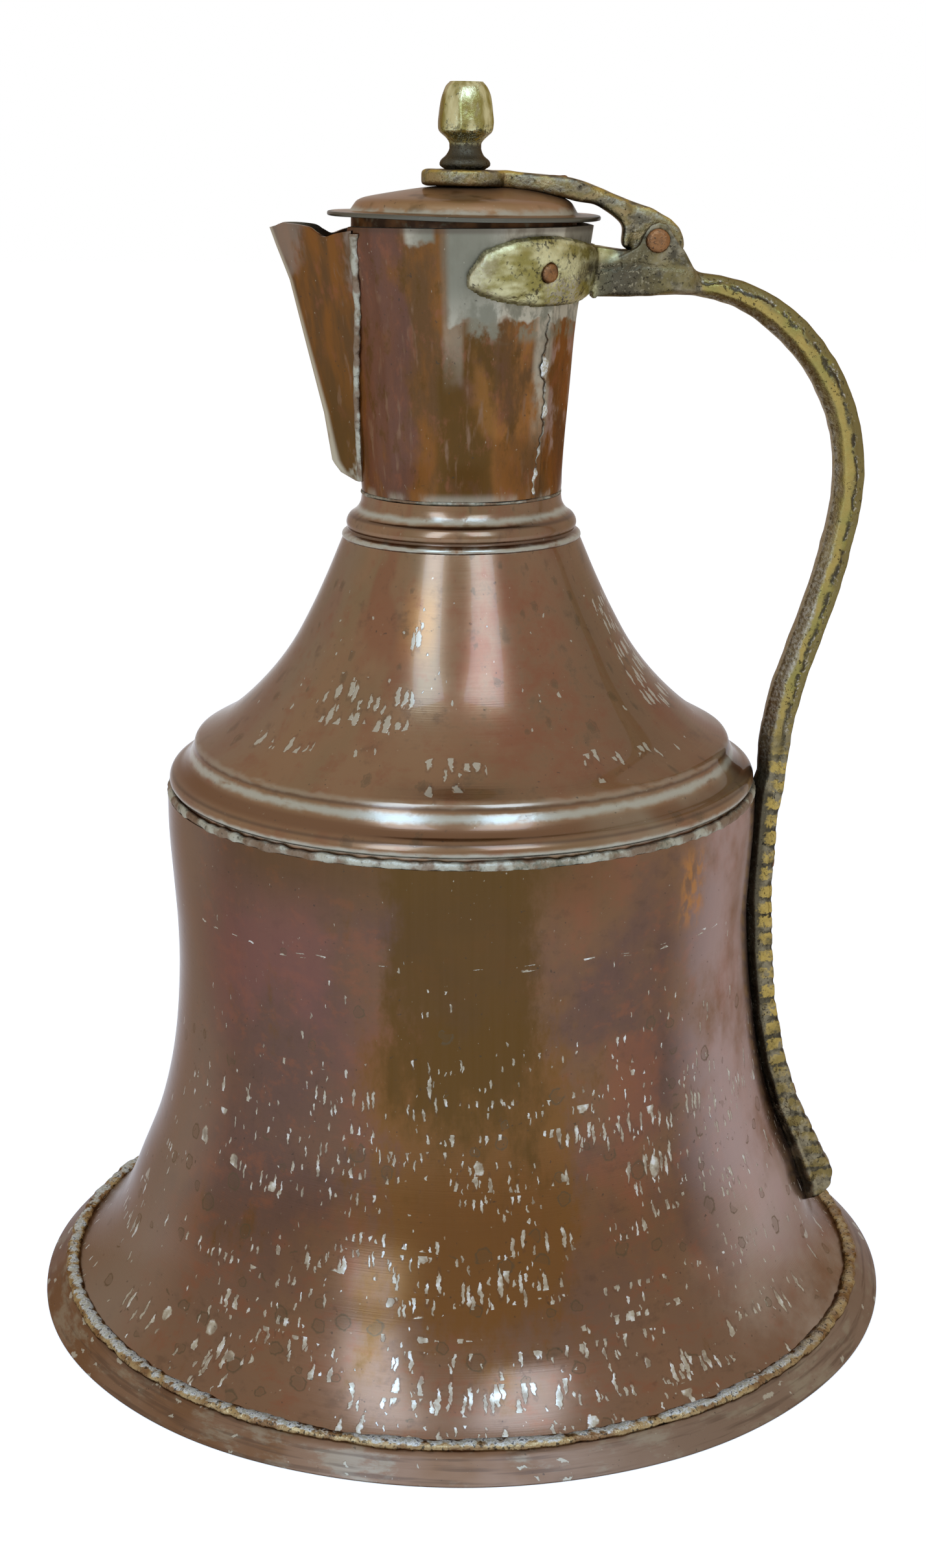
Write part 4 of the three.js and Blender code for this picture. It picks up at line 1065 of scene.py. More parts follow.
def paint_bell(piece):
    paint = Paint("bell_copper")
    z, along = paint.z, paint.kept("along")
    barrel = paint.barrel(95, along)
    flat = paint.shaken(paint.shaken(paint.unrolled(95, along), 3.0, 2.2), 0.8, 0.6)
    cloud = paint.noise(46, (5, 0, 3), barrel, detail=6.0, rough=0.6)
    patch = paint.noise((26, 26, 34), (40, 9, 0), barrel, detail=5.0, rough=0.6)
    torn = paint.noise((13, 13, 24), (21, 4, 7), barrel, **RAGGED)
    stain = paint.noise((9, 9, 6), (6, 6, 2), barrel, **RAGGED)
    paint.look = cloud.ramp(0.40, 0.60).mix(BROWN, PURPLE)
    paint.over(RED, patch.ramp(0.5, 0.66) * 0.6)
    paint.over(PURPLE, paint.facing(-131, 12, 32) * z.ramp(40, 85) * 0.7)
    paint.over(PINK, z.ramp(58, 10) * 0.8)
    paint.over(RED, stain.ramp(0.5, 0.66) * 0.5)
    paint.over(DARK, stain.ramp(0.46, 0.32) * 0.35)
    # Painted reflection: a dark olive band down the bell's front, with an amber fringe round it.
    amber_reflection = paint.facing(-88, 3, 25) * z.window(25, 110, 22)
    paint.over(AMBER, amber_reflection.ragged(torn, 2.4) * 0.8)
    olive_reflection = paint.facing(-89, 1, 20) * z.ramp(50, 104)
    paint.over(OLIVE, olive_reflection.ragged(torn, 2.2) * 0.85)
    paint.over(OLIVE, paint.facing(-100, 24, 46) * z.ramp(128, 150) * 0.6)
    # Painted reflections at the bell's side edges: lilac up the handle's side, ashen low on it,
    # grey-brown down the spout's side.
    lilac_reflection = paint.facing(-14, 4, 36) * z.ramp(6, 40) * cloud.ramp(0.3, 0.56)
    paint.over(LILAC, lilac_reflection * 0.75)
    paint.over(GREY_BROWN, paint.facing(-172, 12, 36) * 0.7)
    ashen_reflection = paint.facing(-20, 10, 34) * z.ramp(52, 30) * cloud.ramp(0.62, 0.4)
    paint.over(ASHEN, ashen_reflection * 0.8)
    blush = paint.facing(-128, 6, 26) * z.window(96, 136, 12) * patch.ramp(0.36, 0.56)
    paint.over(CRIMSON, blush * 0.45)
    ember = paint.facing(-42.6, 0.5, 4.5, both=False) * z.window(127, 146, 4)
    paint.over(ORANGE, ember * paint.noise((3, 3, 5), (4, 4, 4)).ramp(0.4, 0.6) * 0.7)
    # Painted shade on the bell along the handle's tail.
    paint.over(DARK, paint.facing(0, 3, 12) * z.ramp(40, 66) * 0.7)
    paint.over(PINK, paint.noise((1.4, 1.4, 30), (0, 5, 0), barrel) * 0.12)

    region = paint.noise((24, 24, 15), (9, 2, 0), barrel, detail=2.0)
    rows = paint.noise((110, 110, 5.5), (0, 0, 9), barrel, detail=1.0)
    dense = paint.facing(-80, 26, 62).between(0.35, 1.0)
    clusters = dense * region.ramp(0.39, 0.5) * rows.ramp(0.44, 0.5)
    all_over = z.ramp(135, 70) * region.ramp(0.4, 0.6) * dense
    level = z + paint.noise(40, (1, 1, 1), barrel).drift(4.0)
    ring = level.window(122.2, 123.4, 0.4) * 0.75
    dashes, dash_rims = paint.marks(
        flat, (2.4, 13), (0.11, 0.28), clusters * z.ramp(104, 80), jitter=0.75
    )
    more, more_rims = paint.marks(
        flat, (3.4, 15), (0.09, 0.25), clusters * z.ramp(70, 34) * 0.8, (3, 5, 0)
    )
    specks, _ = paint.marks(flat, (1.7, 5.2), (0.1, 0.24), all_over * 0.35, (7, 1, 0))
    scratches, _ = paint.marks(flat, (9, 2.4), (0.1, 0.3), ring, (2, 9, 0))
    few, _ = paint.marks(flat, (8, 11), (0.12, 0.26), clusters * z.ramp(96, 80) * 0.22, (6, 3, 0))
    tin = dashes | more | specks | scratches | few
    low = z.ramp(145, 20) * region.ramp(0.7, 0.4)
    spots, spot_rims = paint.marks(flat, (8.5, 8.5), (0.10, 0.24), low * 0.5, (1, 4, 0), 1.0)
    paint.over(SPOT, spots * 0.25 | spot_rims * 0.85)
    paint.over(DARK, (dash_rims | more_rims) * 0.35)
    shade = paint.noise(3.0, (2, 8, 5), barrel)
    pale = shade.ramp(0.3, 0.5).mix(TIN_GREY, shade.ramp(0.5, 0.7).mix(TIN, TIN_BRIGHT))
    paint.over(pale, tin * shade.ramp(0.35, 0.6).between(0.55, 0.95))
    lines = paint.brushed(barrel)
    paint.pricked()
    rough = paint.tinned_inside(lines.between(0.17, 0.27) + tin * 0.1)
    paint.coat(0.07, 0.1)
    paint.finish(piece, rough, tin.between(1.0, 0.8), lines * 0.25 + tin, 0.05)


# Worn places on the cone: degrees round, half widths of their middle and whole, lowest, highest,
# and whether the far side has one too
CONE_WEAR = [
    (-91, 4, 9, 166, 173, False), (-138, 6, 12, 171, 175, True), (-119, 10, 18, 179, 189, True),
    (-16, 6, 12, 174, 206, True), (-50, 8, 14, 168, 172, True), (-104, 2, 5, 196, 204, False),
]
# Pale crust of the shoulder's rolls, and painted shade in their grooves and under the cone's edge:
# lowest, highest, softness
CRUST_BANDS = [(160.5, 162.3, 0.7), (152.6, 154.0, 0.6), (221.5, 222.7, 0.5), (228.6, 229.9, 0.7)]
THIN_CRUST = (164.0, 165.2, 0.4)
GROOVE_SHADE = [(155.7, 156.4, 0.35), (223.0, 223.9, 0.3), (163.3, 164.2, 0.4), (227.2, 227.9, 0.3)]


def paint_shoulder(piece):
    paint = Paint("shoulder_copper")
    z, barrel = paint.z, paint.barrel(58)
    flat = paint.shaken(paint.shaken(paint.unrolled(58), 2.6, 2.6), 0.8, 1.0)
    cloud = paint.noise(34, (1, 6, 2), barrel)
    patch = paint.noise((22, 22, 30), (40, 9, 0), barrel)
    stain = paint.noise((9, 9, 6), (6, 6, 2), barrel, **RAGGED)
    paint.look = cloud.ramp(0.45, 0.62).mix(CONE, CONE_DULL)
    paint.over(RED, patch.ramp(0.52, 0.66) * 0.55)
    paint.over(OLIVE, paint.facing(-46, 16, 40) * z.window(172, 214, 10) * 0.08)
    paint.over(ORANGE, paint.facing(-106, 2, 9) * z.window(197, 212, 6) * 0.4)
    # Painted reflection: grey-brown down the cone's side under the spout.
    paint.over(GREY_BROWN, paint.facing(-176, 12, 40) * 0.5)
    paint.over(PINK, paint.facing(-52, 10, 34) * z.ramp(164, 170) * 0.5)
    warm = paint.facing(-70, 8, 30) * z.window(166, 216, 12)
    paint.over(RED, warm * stain.ramp(0.3, 0.6) * 0.6)
    paint.over(RED, stain.ramp(0.52, 0.68) * 0.45)
    paint.over(DARK, stain.ramp(0.46, 0.3) * 0.4)
    paint.over(BROWN, z.window(156.8, 159.6, 0.8))
    side = paint.facing(-30, 20, 40) * z.window(152, 163, 1.5)
    paint.over(TIN_GREY, side * cloud.ramp(0.36, 0.56) * 0.8)

    worn = [
        paint.facing(turn, inner, outer, both) * z.window(low, high, 1.5)
        for turn, inner, outer, low, high, both in CONE_WEAR
    ]
    few = z.window(168, 208, 4) * 0.045
    dashes, dash_rims = paint.marks(flat, (2.6, 6.5), (0.14, 0.4), reduce(or_, worn))
    specks, _ = paint.marks(flat, (2.4, 2.8), (0.1, 0.24), few, (5, 1, 0))
    pits, pit_rims = paint.marks(flat, (6.5, 6.5), (0.08, 0.2), 0.16, (2, 4, 0), 1.0)
    paint.over(SPOT, pits * 0.45 | pit_rims * 0.5)
    level = z + paint.noise(4.5, (8, 1, 3)).drift(1.5)
    crust = level.bands(CRUST_BANDS) | level.window(*THIN_CRUST) * 0.3
    crust = crust * paint.noise((9, 9, 4), (6, 6, 1), barrel).ramp(0.26, 0.44)
    # Painted shade in the grooves of the rolls and under the cone's foot.
    paint.over(DARK, z.bands(GROOVE_SHADE) * 0.6)
    paint.over(DARK, dash_rims * 0.3)
    tin = dashes | specks
    paint.over(TIN, tin * 0.8)
    paint.over(RESIDUE, crust * 0.85)
    lines = paint.brushed(barrel)
    paint.pricked()
    paint.coat(0.24, 0.05)
    rough = lines.between(0.17, 0.27) + paint.facing(-30, 18, 38) * 0.16
    rough = paint.tinned_inside(rough)
    pale = tin | crust
    paint.finish(piece, rough, pale.between(1.0, 0.65), lines * 0.25 + pale, 0.06)


def paint_neck(piece):
    paint = Paint("neck_copper")
    z, barrel = paint.z, paint.barrel(31)
    streak = paint.noise((10, 10, 24), (2, 3, 0), barrel, detail=6.0, rough=0.65)
    cloud = paint.noise((9, 9, 14), (9, 0, 4), barrel, detail=5.0)
    stain = paint.noise((5, 5, 9), (6, 6, 2), barrel, **RAGGED)
    shade = paint.noise((5, 5, 8), (4, 1, 2), barrel, detail=6.0, rough=0.65)
    paint.look = streak.ramp(0.36, 0.62).mix(NECK_ORANGE, NECK_BROWN)
    # Painted dark reflection: a darker stripe down the neck's front.
    dark = (paint.facing(-88, 6, 20) * z.ramp(292, 266)).ragged(cloud, 0.9)
    paint.over(NECK_DARK, dark * 0.85)
    glow = (paint.facing(-62, 8, 26) * z.window(252, 280, 8)).ragged(cloud, 1.6)
    paint.over(ORANGE, glow * streak.ramp(0.62, 0.42) * 0.3)
    purple = (paint.facing(-134, 5, 26) * 0.8).ragged(cloud, 2.4)
    paint.over(NECK_PURPLE, purple * 0.7)
    paint.over(LILAC, paint.facing(-26, 8, 18) * z.ramp(284, 272) * cloud.ramp(0.46, 0.58) * 0.4)
    paint.over(RED, stain.ramp(0.52, 0.66) * 0.5)
    paint.over(NECK_DARK, stain.ramp(0.46, 0.34) * 0.6)
    worn = paint.noise((3, 3, 13), (2, 7, 0), barrel, detail=4.0).ramp(0.56, 0.7)
    paint.over(PINK, worn * 0.7)

    level = z + paint.noise((7, 7, 7), (1, 8, 6), barrel).drift(11.0)
    lapped = level.ramp(280.5, 282.0)
    by_seam = paint.facing(-44, 3, 8, both=False) * cloud.ramp(0.4, 0.55) * z.ramp(246, 262)
    tin = (
        paint.facing(-60, 34, 39) * lapped
        | paint.facing(0, 62, 66) * lapped
        | paint.facing(-94, 3, 6) * level.ramp(262, 276) * 0.3
        | paint.facing(-108, 5, 8) * level.ramp(300, 302)
        | by_seam * 0.7
    )
    # The tin is darker down the neck's front as well: the same painted dark reflection.
    dull = paint.facing(-92, 9, 24) * z.ramp(276, 292) * 0.9
    paint.over(dull.mix(shade.ramp(0.34, 0.56).mix(TIN_GREY, TIN), TIN_DARK), tin)
    around_wing = paint.facing(0, 84, 90) * z.window(276.5, 301.5, 1.5)
    paint.over(TIN_DARK, around_wing * shade.ramp(0.58, 0.42) * 0.8)
    # Painted shade on the neck's lip, under the lid's brim.
    paint.over(DARK, z.ramp(303.2, 304.4) * 0.5)
    paint.over(RESIDUE, z.ramp(237, 234.6) * cloud.ramp(0.4, 0.6) * 0.4)
    lines = paint.noise((1.1, 1.1, 24), (3, 7, 1), barrel, detail=2.0)
    paint.pricked()
    paint.coat(0.08, 0.12)
    rough = paint.tinned_inside(lines.between(0.20, 0.34) + tin * 0.18)
    paint.finish(piece, rough, tin.between(1.0, 0.75), lines + tin, 0.04)


def paint_spout(piece):
    paint = Paint("spout_copper")
    streak = paint.noise((5, 5, 26), (2, 3, 7))
    stain = paint.noise((5, 5, 9), (6, 6, 2), **RAGGED)
    cloud = paint.noise((4, 4, 9), (8, 3, 5))
    paint.look = streak.ramp(0.36, 0.64).mix(NECK_ORANGE, NECK_BROWN)
    paint.over(RED, stain.ramp(0.52, 0.66) * 0.5)
    paint.over(NECK_DARK, paint.z.ramp(285, 240) * 0.8)
    paint.coat(0.08, 0.15)
    paint.pricked()
    level = paint.z + cloud.drift(22.0)
    across = paint.x + cloud.drift(9.0)
    tip = level.ramp(291, 297) * across.ramp(-41.5, -44.5) * 0.6
    by_seam = level.ramp(287, 294) * across.ramp(-31.5, -28.5) * 0.8
    tin = tip | by_seam | level.ramp(303.5, 305.5) * 0.5
    paint.over(GREY_BROWN, tin * 0.9)
    # Painted highlight: a pale line down the spout's nose.
    paint.over(TIN, abs(paint.y).ramp(2.2, 1.0) * 0.85)
    paint.over(TIN_GREY, level.ramp(241, 238) * across.ramp(-33, -30))
    paint.over(PINK, paint.noise((2.6, 2.6, 12), (1, 1, 8)).ramp(0.62, 0.72) * 0.45)
    paint.over(TIN_GREY, paint.kept("inside").ramp(0.4, 0.6) * 0.9)
    rough = paint.noise((1, 1, 18), (5, 5, 5)).between(0.22, 0.42)
    paint.finish(piece, rough, tin.between(1.0, 0.8), streak, 0.05)


def paint_base(piece):
    paint = Paint("base_copper")
    flat = paint.shaken(paint.shaken(paint.unrolled(122), 2.0, 1.6), 0.8, 1.0)
    cloud = paint.noise(26, (2, 2, 2))
    paint.look = cloud.ramp(0.42, 0.6).mix(PINK, BROWN)
    paint.over(GREY_BROWN, paint.facing(-30, 20, 60) * 0.5)
    pale = paint.noise((14, 14, 4), (8, 2, 2), detail=6.0, rough=0.65)
    paint.over(TIN_GREY, pale.ramp(0.5, 0.64) * 0.5)
    streaks = paint.noise((30, 30, 1.2), (6, 1, 3), paint.barrel(122))
    paint.over(DARK, streaks.ramp(0.5, 0.66) * 0.5)
    region = paint.noise(24, (5, 5, 1), detail=2.0).ramp(0.42, 0.6)
    flecks, _ = paint.marks(flat, (9, 2.6), (0.1, 0.3), region * 0.6)
    paint.over(TIN, flecks * 0.75)
    paint.coat(0.1, 0.15)
    paint.pricked()
    paint.over(GRIME, paint.z.ramp(0.8, 0.1) * 0.7)
    rough = cloud.between(0.34, 0.48)
    paint.finish(piece, rough, flecks.between(1.0, 0.75), streaks + flecks, 0.05)


def paint_solder(piece, name, fresh):
    """Dull tin solder with dark pits; fresh is the share of its pale crust."""
    paint = Paint(name)
    cloud = paint.noise(5.5, (3, 1, 4), detail=4.0)
    fine = paint.noise(1.1, (8, 3, 1), detail=3.0)
    paint.look = fine.ramp(0.4, 0.6).mix(TIN_GREY, TIN_DARK)
    paint.over(RESIDUE, cloud.ramp(0.62 - fresh * 0.3, 0.74 - fresh * 0.3))
    paint.over(BROWN, paint.noise(8, (2, 2, 6), detail=4.0).ramp(0.45, 0.58) * 0.75)
    paint.over(GRIME, fine.ramp(0.62, 0.72) * 0.6)
    paint.finish(piece, fine.between(0.35, 0.6), 0.75, fine, 0.25)


def paint_foot_solder(piece):
    """A tan bead with a ragged white crust on its upper half."""
    paint = Paint("foot_solder_look")
    fine = paint.noise(0.9, (8, 3, 1))
    level = paint.z + paint.noise(2.6, (3, 1, 4), detail=4.0).drift(2.6)
    crusted = level.ramp(8.0, 8.4) * paint.facing(0, 25, 48).between(1.0, 0.15)
    paint.look = (paint.noise(9, (1, 1, 1)).ramp(0.42, 0.6) * 0.8).mix(TAN, BROWN)
    paint.over(fine.ramp(0.4, 0.6).mix(RESIDUE, TIN_BRIGHT), crusted)
    paint.over(GRIME, fine.ramp(0.55, 0.64) * 0.85)
    paint.finish(piece, crusted.between(0.3, 0.6), crusted.between(1.0, 0.7), fine, 0.3)


def paint_neck_seam(piece):
    """A dark line where it is narrow, whitish solder where it is wide."""
    paint = Paint("neck_seam_look")
    wide = paint.kept("width").ramp(0.35, 0.8)
    fine = paint.noise(0.8, (8, 3, 1))
    paint.look = paint.noise(4, (2, 2, 2)).ramp(0.45, 0.6).mix(NECK_BROWN, TIN_GREY)
    paint.over(fine.ramp(0.42, 0.6).mix(TIN, TIN_BRIGHT), wide)
    paint.over(GRIME, fine.ramp(0.6, 0.7) * 0.6)
    paint.finish(piece, wide.between(0.5, 0.35), 0.8, fine, 0.2)


def paint_handle(piece):
    paint = Paint("handle_brass")
    x, z = paint.x, paint.z
    cloud = paint.noise(9, (3, 3, 1), detail=5.0)
    patch = paint.noise((4, 7, 5), (9, 4, 2), detail=5.0)
    fine = paint.noise(0.9, (8, 3, 1), detail=4.0)
    level = paint.kept("across") + patch.drift(0.9)

    # The bar: grey on its inner edge, then gold that is partly a painted highlight, a dark pitted
    # ridge, and dull gold outside
    paint.look = cloud.ramp(0.42, 0.62).mix(BRASS_DULL, GOLD_GREEN)
    paint.over(TAN, level.ramp(-0.4, -0.6) * 0.5)
    # The gold band is partly the bar's polish, partly a painted highlight on the face that looks
    # forward.
    paint.over(GOLD, level.window(-0.4, 0.14, 0.15) * cloud.ramp(0.7, 0.4) * 0.58)
    paint.over(BRASS_DULL, level.ramp(0.35, 0.6) * 0.8)
    inner = level.ramp(-0.6, -0.85) | z.ramp(235, 200) * level.ramp(-0.15, -0.4)
    paint.over(fine.ramp(0.42, 0.6).mix(BRASS_GREY, BRASS_WORN), inner * 0.9)
    broken = paint.noise((3, 9, 3), (1, 1, 7), detail=5.0).ramp(0.4, 0.52)
    line = level.window(0.17, 0.43, 0.09) * broken
    paint.over(GRIME, line * 0.9)
    paint.over(BRASS_WORN, level.window(0.34, 0.56, 0.1) * broken * fine.ramp(0.52, 0.6))

    # The tail: dark, with painted shade on its inner half by the bell, and gold between its notches
    tail = z.ramp(178, 152)
    proud = paint.kept("proud") + fine.drift(0.5)
    bars = paint.kept("bars") + fine.drift(2.2) + patch.drift(2.6)
    edge = proud.ramp(0.36, 0.5) * bars.ramp(0.5, 0.1) * cloud.ramp(0.36, 0.52)
    dark = layered(
        (patch.ramp(0.42, 0.6) * 0.8).mix(BRASS_DARK, BRASS_GREY),
        # Painted shade, with grime in the gap, on the tail's inner half next to the bell.
        (BRASS_DARK, proud.ramp(0.5, 0.36) * 0.85),
        (GOLD, edge * z.ramp(56, 80).between(0.4, 1.0) * 0.8),
        (BRASS_GREY, z.ramp(60, 50) * patch.ramp(0.5, 0.6) * 0.7),
    )
    paint.over(dark, tail)

    # The block by the hinge, and the strip under it
    across = x + patch.drift(12.0)
    block = across.window(40, 66, 2) * z.ramp(284, 287) | x.ramp(61, 56) * z.ramp(268, 272)
    rough_cast = layered(
        patch.ramp(0.42, 0.6).mix(BRASS_DARK, BRASS_GREY),
        (BRASS_WORN, fine.ramp(0.54, 0.64) * cloud.ramp(0.45, 0.6) * 0.7),
        (BRASS_DULL, cloud.ramp(0.46, 0.6) * 0.8),
    )
    paint.over(rough_cast, block)
    below = x.window(53, 76, 3) * z.window(274, 281, 1) * patch.ramp(0.36, 0.46)
    paint.over(GOLD, below * 0.9)

    # The wings: polished yellow-green, with a worn end, pits by the rivets, and painted shade on
    # their lower part
    ring = x.window(22, 31, 1) * z.window(284.5, 292.5, 1) * fine.ramp(0.44, 0.54)
    face = layered(
        paint.noise((13, 13, 7), (2, 6, 6)).ramp(0.37, 0.56).mix(GOLD_GREEN, GOLD_PALE),
        (BRASS_DULL, cloud.ramp(0.54, 0.68) * 0.7),
        (BRASS_WORN, (x + fine.drift(14.0)).ramp(9, 3) * 0.4),
        # Painted shade: the lower part of each wing is darker green.
        (GOLD_GREEN, z.ramp(289, 282) * 0.8),
        (BRASS_WORN, ring * 0.7),
        (GRIME, x.window(16, 38, 4) * patch.ramp(0.5, 0.62) * fine.ramp(0.5, 0.56) * 0.8),
    )
    paint.over(face, across.ramp(42, 39) * z.ramp(268, 272))
    # Painted shade in the crevices between the wings and the block.
    recess_shade = across.window(35, 49, 3) * z.window(282.5, 296, 2)
    recess_shade = recess_shade | across.window(40, 52, 2) * z.ramp(262, 270) * 0.6
    paint.over(fine.ramp(0.56, 0.66).mix(BRASS_DARK, BRASS_GREY), recess_shade * 0.9)

    pits = paint.cast_pits()
    paint.over(GRIME, pits * 0.7)
    paint.over(GRIME, paint.kept("notch").ramp(0.2, 0.7) * 0.75)
    rough = fine.ramp(0.35, 0.65).between(0.28, 0.46) + (tail | block) * 0.1
    paint.finish(piece, rough, 1.0, fine * 0.5 - (pits | line), 0.3)


def paint_arm(piece):
    paint = Paint("arm_brass")
    fine = paint.noise(0.9, (8, 3, 1), detail=4.0)
    patch = paint.noise((6, 6, 3.5), (9, 4, 2), detail=5.0)
    up = paint.kept("up")
    paint.look = patch.ramp(0.4, 0.56).mix(BRASS_GREY, BRASS_DULL)
    paint.over(TAN, patch.ramp(0.5, 0.62) * 0.6)
    # Painted highlight: the arm's upward faces are gold.
    paint.over(GOLD, up.ramp(0.2, 0.8) * patch.ramp(0.4, 0.56) * 0.8)
    worn = fine.ramp(0.54, 0.64) * paint.noise(7, (2, 9, 2)).ramp(0.5, 0.62)
    paint.over(BRASS_WORN, worn * 0.5)
    paint.over(BRASS_DARK, patch.ramp(0.48, 0.34) * 0.8)
    # Painted shade: the arm's downward faces are darker.
    paint.over(BRASS_DARK, up.ramp(-0.1, -0.6) * 0.5)
    pits = paint.cast_pits()
    paint.over(GRIME, pits * 0.85)
    paint.finish(piece, fine.between(0.28, 0.5), 1.0, fine - pits, 0.25)


def paint_finial(piece):
    paint = Paint("finial_brass")
    fine = paint.noise(0.7, (8, 3, 1), detail=4.0)
    cloud = paint.noise((5, 5, 12), (2, 3, 4))
    paint.look = cloud.ramp(0.4, 0.6).mix(GOLD_PALE, GOLD_GREEN)
    paint.over(BRASS_GREY, cloud.ramp(0.6, 0.7) * 0.6)
    # Painted dark reflection down the finial's left and back.
    paint.over(BRASS_DULL, paint.radius((-2.2, 2.2, 0)).ramp(6.6, 8.6) * 0.75)
    waist = paint.z.ramp(finial_at(0.4), finial_at(0.3))
    paint.over(fine.ramp(0.5, 0.62).mix(BRASS_DARK, BRASS_GREY), waist)
    low = paint.z.ramp(finial_at(0.62), finial_at(0.42))
    pits = fine.ramp(0.53, 0.6) * low | paint.cast_pits() * 0.7
    paint.over(GRIME, pits * 0.85)
    paint.finish(piece, cloud.between(0.16, 0.34) + waist * 0.25, 1.0, fine * 0.4 - pits, 0.25)


def paint_rivet(piece, name):
    paint = Paint(name)
    cloud = paint.noise(2.6, (4, 4, 4))
    fine = paint.noise(0.6, (8, 3, 1))
    paint.look = cloud.ramp(0.46, 0.64).mix(RIVET, BROWN)
    paint.over(GRIME, fine.ramp(0.58, 0.68) * 0.7)
    paint.finish(piece, cloud.between(0.28, 0.5), 1.0, fine, 0.2)


def paint_cover(piece):
    paint = Paint("cover_copper")
    cloud = paint.noise(15, (2, 5, 1))
    fine = paint.noise(0.9, (4, 3, 1), detail=4.0)
    reach = paint.radius((-LID_OFFSET, 0, 0))
    step = (reach + paint.noise(3.5, (8, 1, 3)).drift(1.4)).window(29.9, 31.1, 0.6)
    step = step * paint.noise(7, (1, 2, 9)).ramp(0.3, 0.5)
    paint.look = cloud.ramp(0.4, 0.6).mix(LID, LID_WARM)
    paint.over(OLIVE, paint.noise(9, (7, 7, 3)).ramp(0.55, 0.68) * 0.6)
    # Painted sheen: warmer towards the handle's side of the cover.
    paint.over(LID_WARM, paint.facing(-20, 10, 40) * 0.6)
    paint.over(RESIDUE, step * 0.8)
    paint.over(LID_EDGE, reach.ramp(34.6, 36.0) * 0.9)
    paint.over(TIN, fine.ramp(0.68, 0.76) * 0.6)
    paint.coat(0.15, 0.12)
    paint.pricked()
    rough = paint.tinned_inside(cloud.between(0.36, 0.46) + step * 0.2)
    paint.finish(piece, rough, 1.0, fine * 0.3 + step, 0.08)


def paint_collar(piece):
    paint = Paint("collar_copper")
    cloud = paint.noise(6, (2, 5, 1))
    # Brown copper mottled with dark, the dark being painted shade of the gap under the brim.
    paint.look = cloud.ramp(0.4, 0.6).mix(BROWN, DARK)
    paint.over(TIN_DARK, paint.noise(3, (1, 4, 4)).ramp(0.55, 0.7) * 0.6)
    paint.finish(piece, paint.tinned_inside(cloud.between(0.4, 0.6)), 1.0, cloud, 0.1)


# Studio

WORLD_LIGHT = 0.55
FLOOR_HALF = 6.0  # in m
FLOOR_PLAIN = (0.85, 0.85, 0.85)
FLOOR_SHADOWED = (0.95, 0.95, 0.95)
FLOOR_GLOW = 0.5
LAMP_AIM = 0.18  # height in m that the lamps point at
LAMP_COLOR = (0.54, 0.88, 1.48)  # cool, so that the highlights of warm copper come out near white
# name, degrees round and up, distance in m, size in m, power in W
LAMPS = [
    ("left_lamp", -118, 34, 1.5, (0.42, 1.4), 9.0),
    ("right_lamp", -69, 43, 1.5, (0.5, 0.95), 7.0),
]
CAMERA_PLACE = (0.00045, -0.620, 0.3256)  # in m
CAMERA_TILT = 74.1  # degrees up from straight down
CAMERA_LENS = 51.55
CAMERA_SENSOR = 36.0  # its height


def fed(tree, kind, *outputs):
    """A new node, its first inputs fed by other nodes' outputs."""
    node = tree.nodes.new(kind)
    for socket, output in zip(node.inputs, outputs):
        tree.links.new(output, socket)
    return node


def shader_output(tree, kind, **inputs):
    """The output of a new shader node, its inputs set to values."""
    node = tree.nodes.new(kind)
    for name, value in inputs.items():
        node.inputs[name].default_value = value
    return node.outputs[0]


def ray_seen(tree):
    """1 for what the camera sees itself, in a reflection or through glass."""
    path = tree.nodes.new("ShaderNodeLightPath")
    seen = path.outputs["Is Camera Ray"]
    for name in ("Is Glossy Ray", "Is Transmission Ray"):
        either = fed(tree, "ShaderNodeMath", seen, path.outputs[name])
        either.operation = "MAXIMUM"
        seen = either.outputs[0]
    return seen


def lit_if_seen(tree, plain, white, output):
    """Joins the plain look of a background, and the white one that is seen, to the output."""
    choice = fed(tree, "ShaderNodeMixShader", ray_seen(tree), plain, white)
    fed(tree, output, choice.outputs[0])


def stage_floor():
    mesh = bpy.data.meshes.new("floor")
    corners = [(-1, -1, 0), (1, -1, 0), (1, 1, 0), (-1, 1, 0)]
    mesh.from_pydata((np.array(corners) * FLOOR_HALF).tolist(), [], [(0, 1, 2, 3)])
    add_object("floor", mesh)
    material = bpy.data.materials.new("floor_white")
    material.use_nodes = True
    tree = material.node_tree
    tree.nodes.clear()
    plain, shadowed = (
        shader_output(tree, "ShaderNodeBsdfDiffuse", Color=(*color, 1))
        for color in (FLOOR_PLAIN, FLOOR_SHADOWED)
    )
    glow = shader_output(tree, "ShaderNodeEmission", Strength=FLOOR_GLOW)
    white = fed(tree, "ShaderNodeAddShader", shadowed, glow).outputs[0]
    lit_if_seen(tree, plain, white, "ShaderNodeOutputMaterial")
    mesh.materials.append(material)


def make_camera():
    camera = bpy.data.cameras.new("camera")
    camera.sensor_fit = "VERTICAL"
    camera.sensor_height = CAMERA_SENSOR
    camera.lens = CAMERA_LENS
    camera.clip_start = 0.01
    holder = add_object("camera", camera)
    holder.location = CAMERA_PLACE
    holder.rotation_euler = (math.radians(CAMERA_TILT), 0, 0)
    bpy.context.scene.camera = holder


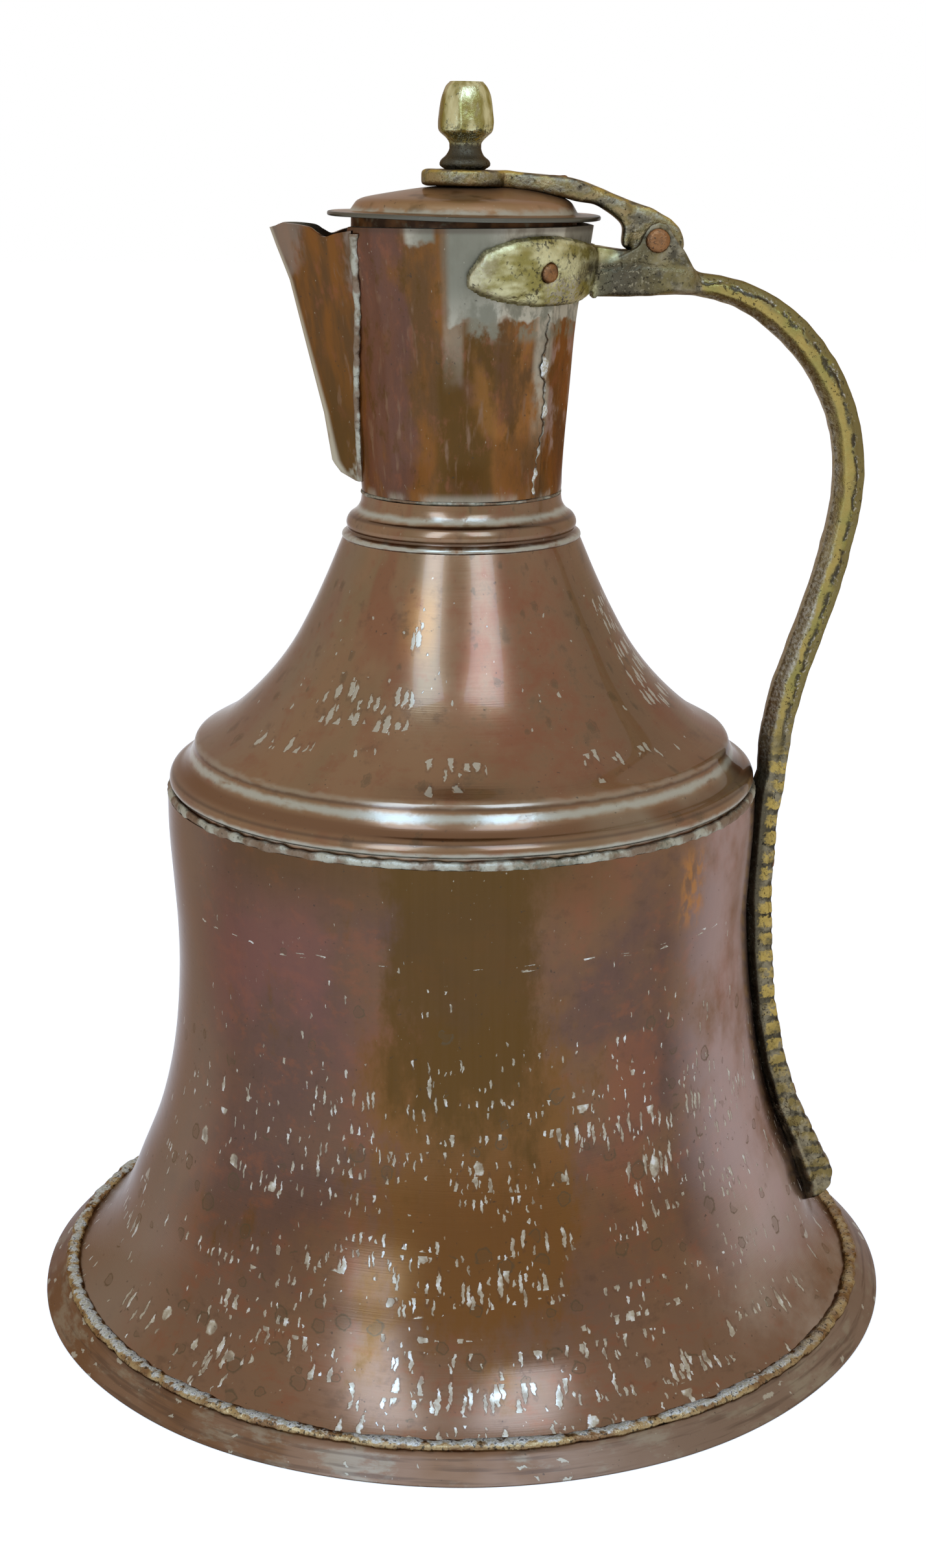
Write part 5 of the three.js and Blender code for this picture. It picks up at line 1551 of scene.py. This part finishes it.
def area_lamp(name, turn, rise, distance, size, power):
    """A lamp aimed at the jug's middle, from an angle round it and an angle up."""
    lamp = bpy.data.lights.new(name, "AREA")
    lamp.shape = "RECTANGLE"
    lamp.size, lamp.size_y = size
    lamp.energy = power
    lamp.color = LAMP_COLOR
    holder = add_object(name, lamp)
    turn, rise = math.radians(turn), math.radians(rise)
    way = Vector((math.cos(turn) * math.cos(rise), math.sin(turn) * math.cos(rise), math.sin(rise)))
    holder.location = Vector((0, 0, LAMP_AIM)) + way * distance
    holder.rotation_euler = (-way).to_track_quat("-Z", "Y").to_euler()


def make_light():
    world = bpy.data.worlds.new("studio")
    bpy.context.scene.world = world
    world.use_nodes = True
    tree = world.node_tree
    tree.nodes.clear()
    looks = [
        shader_output(tree, "ShaderNodeBackground", Color=(1, 1, 1, 1), Strength=strength)
        for strength in (WORLD_LIGHT, 1.0)
    ]
    lit_if_seen(tree, *looks, "ShaderNodeOutputWorld")
    for lamp in LAMPS:
        area_lamp(*lamp)


base_plate = make_base_plate()
bell = make_bell()
shoulder = make_shoulder()
neck = make_neck()
beads = {part: bead_ring(part, *bead) for part, *bead in RING_BEADS}
neck_seam = make_neck_seam()
spout = make_spout()
spout_beads = [make_spout_bead(side) for side in (-1, 1)]
handle = make_handle()
arm = make_arm()
rivets = {node: make_rivet(seed, node, *rivet) for seed, (node, *rivet) in enumerate(RIVETS, 90)}
cover = make_cover()
collar = make_collar()
finial = make_finial()

paint_base(base_plate)
paint_bell(bell)
paint_shoulder(shoulder)
paint_neck(neck)
paint_spout(spout)
paint_foot_solder(beads["foot"])
paint_solder(beads["shoulder"], "shoulder_solder_look", 0.7)
paint_solder(beads["neck"], "neck_solder_look", 0.4)
paint_neck_seam(neck_seam)
for bead in spout_beads:
    paint_solder(bead, bead.name + "_look", 0.8)
paint_handle(handle)
paint_arm(arm)
for node, rivet in rivets.items():
    paint_rivet(rivet, node + "_look")
paint_cover(cover)
paint_collar(collar)
paint_finial(finial)

stage_floor()
make_camera()
make_light()
bpy.context.scene.view_settings.view_transform = "Standard"
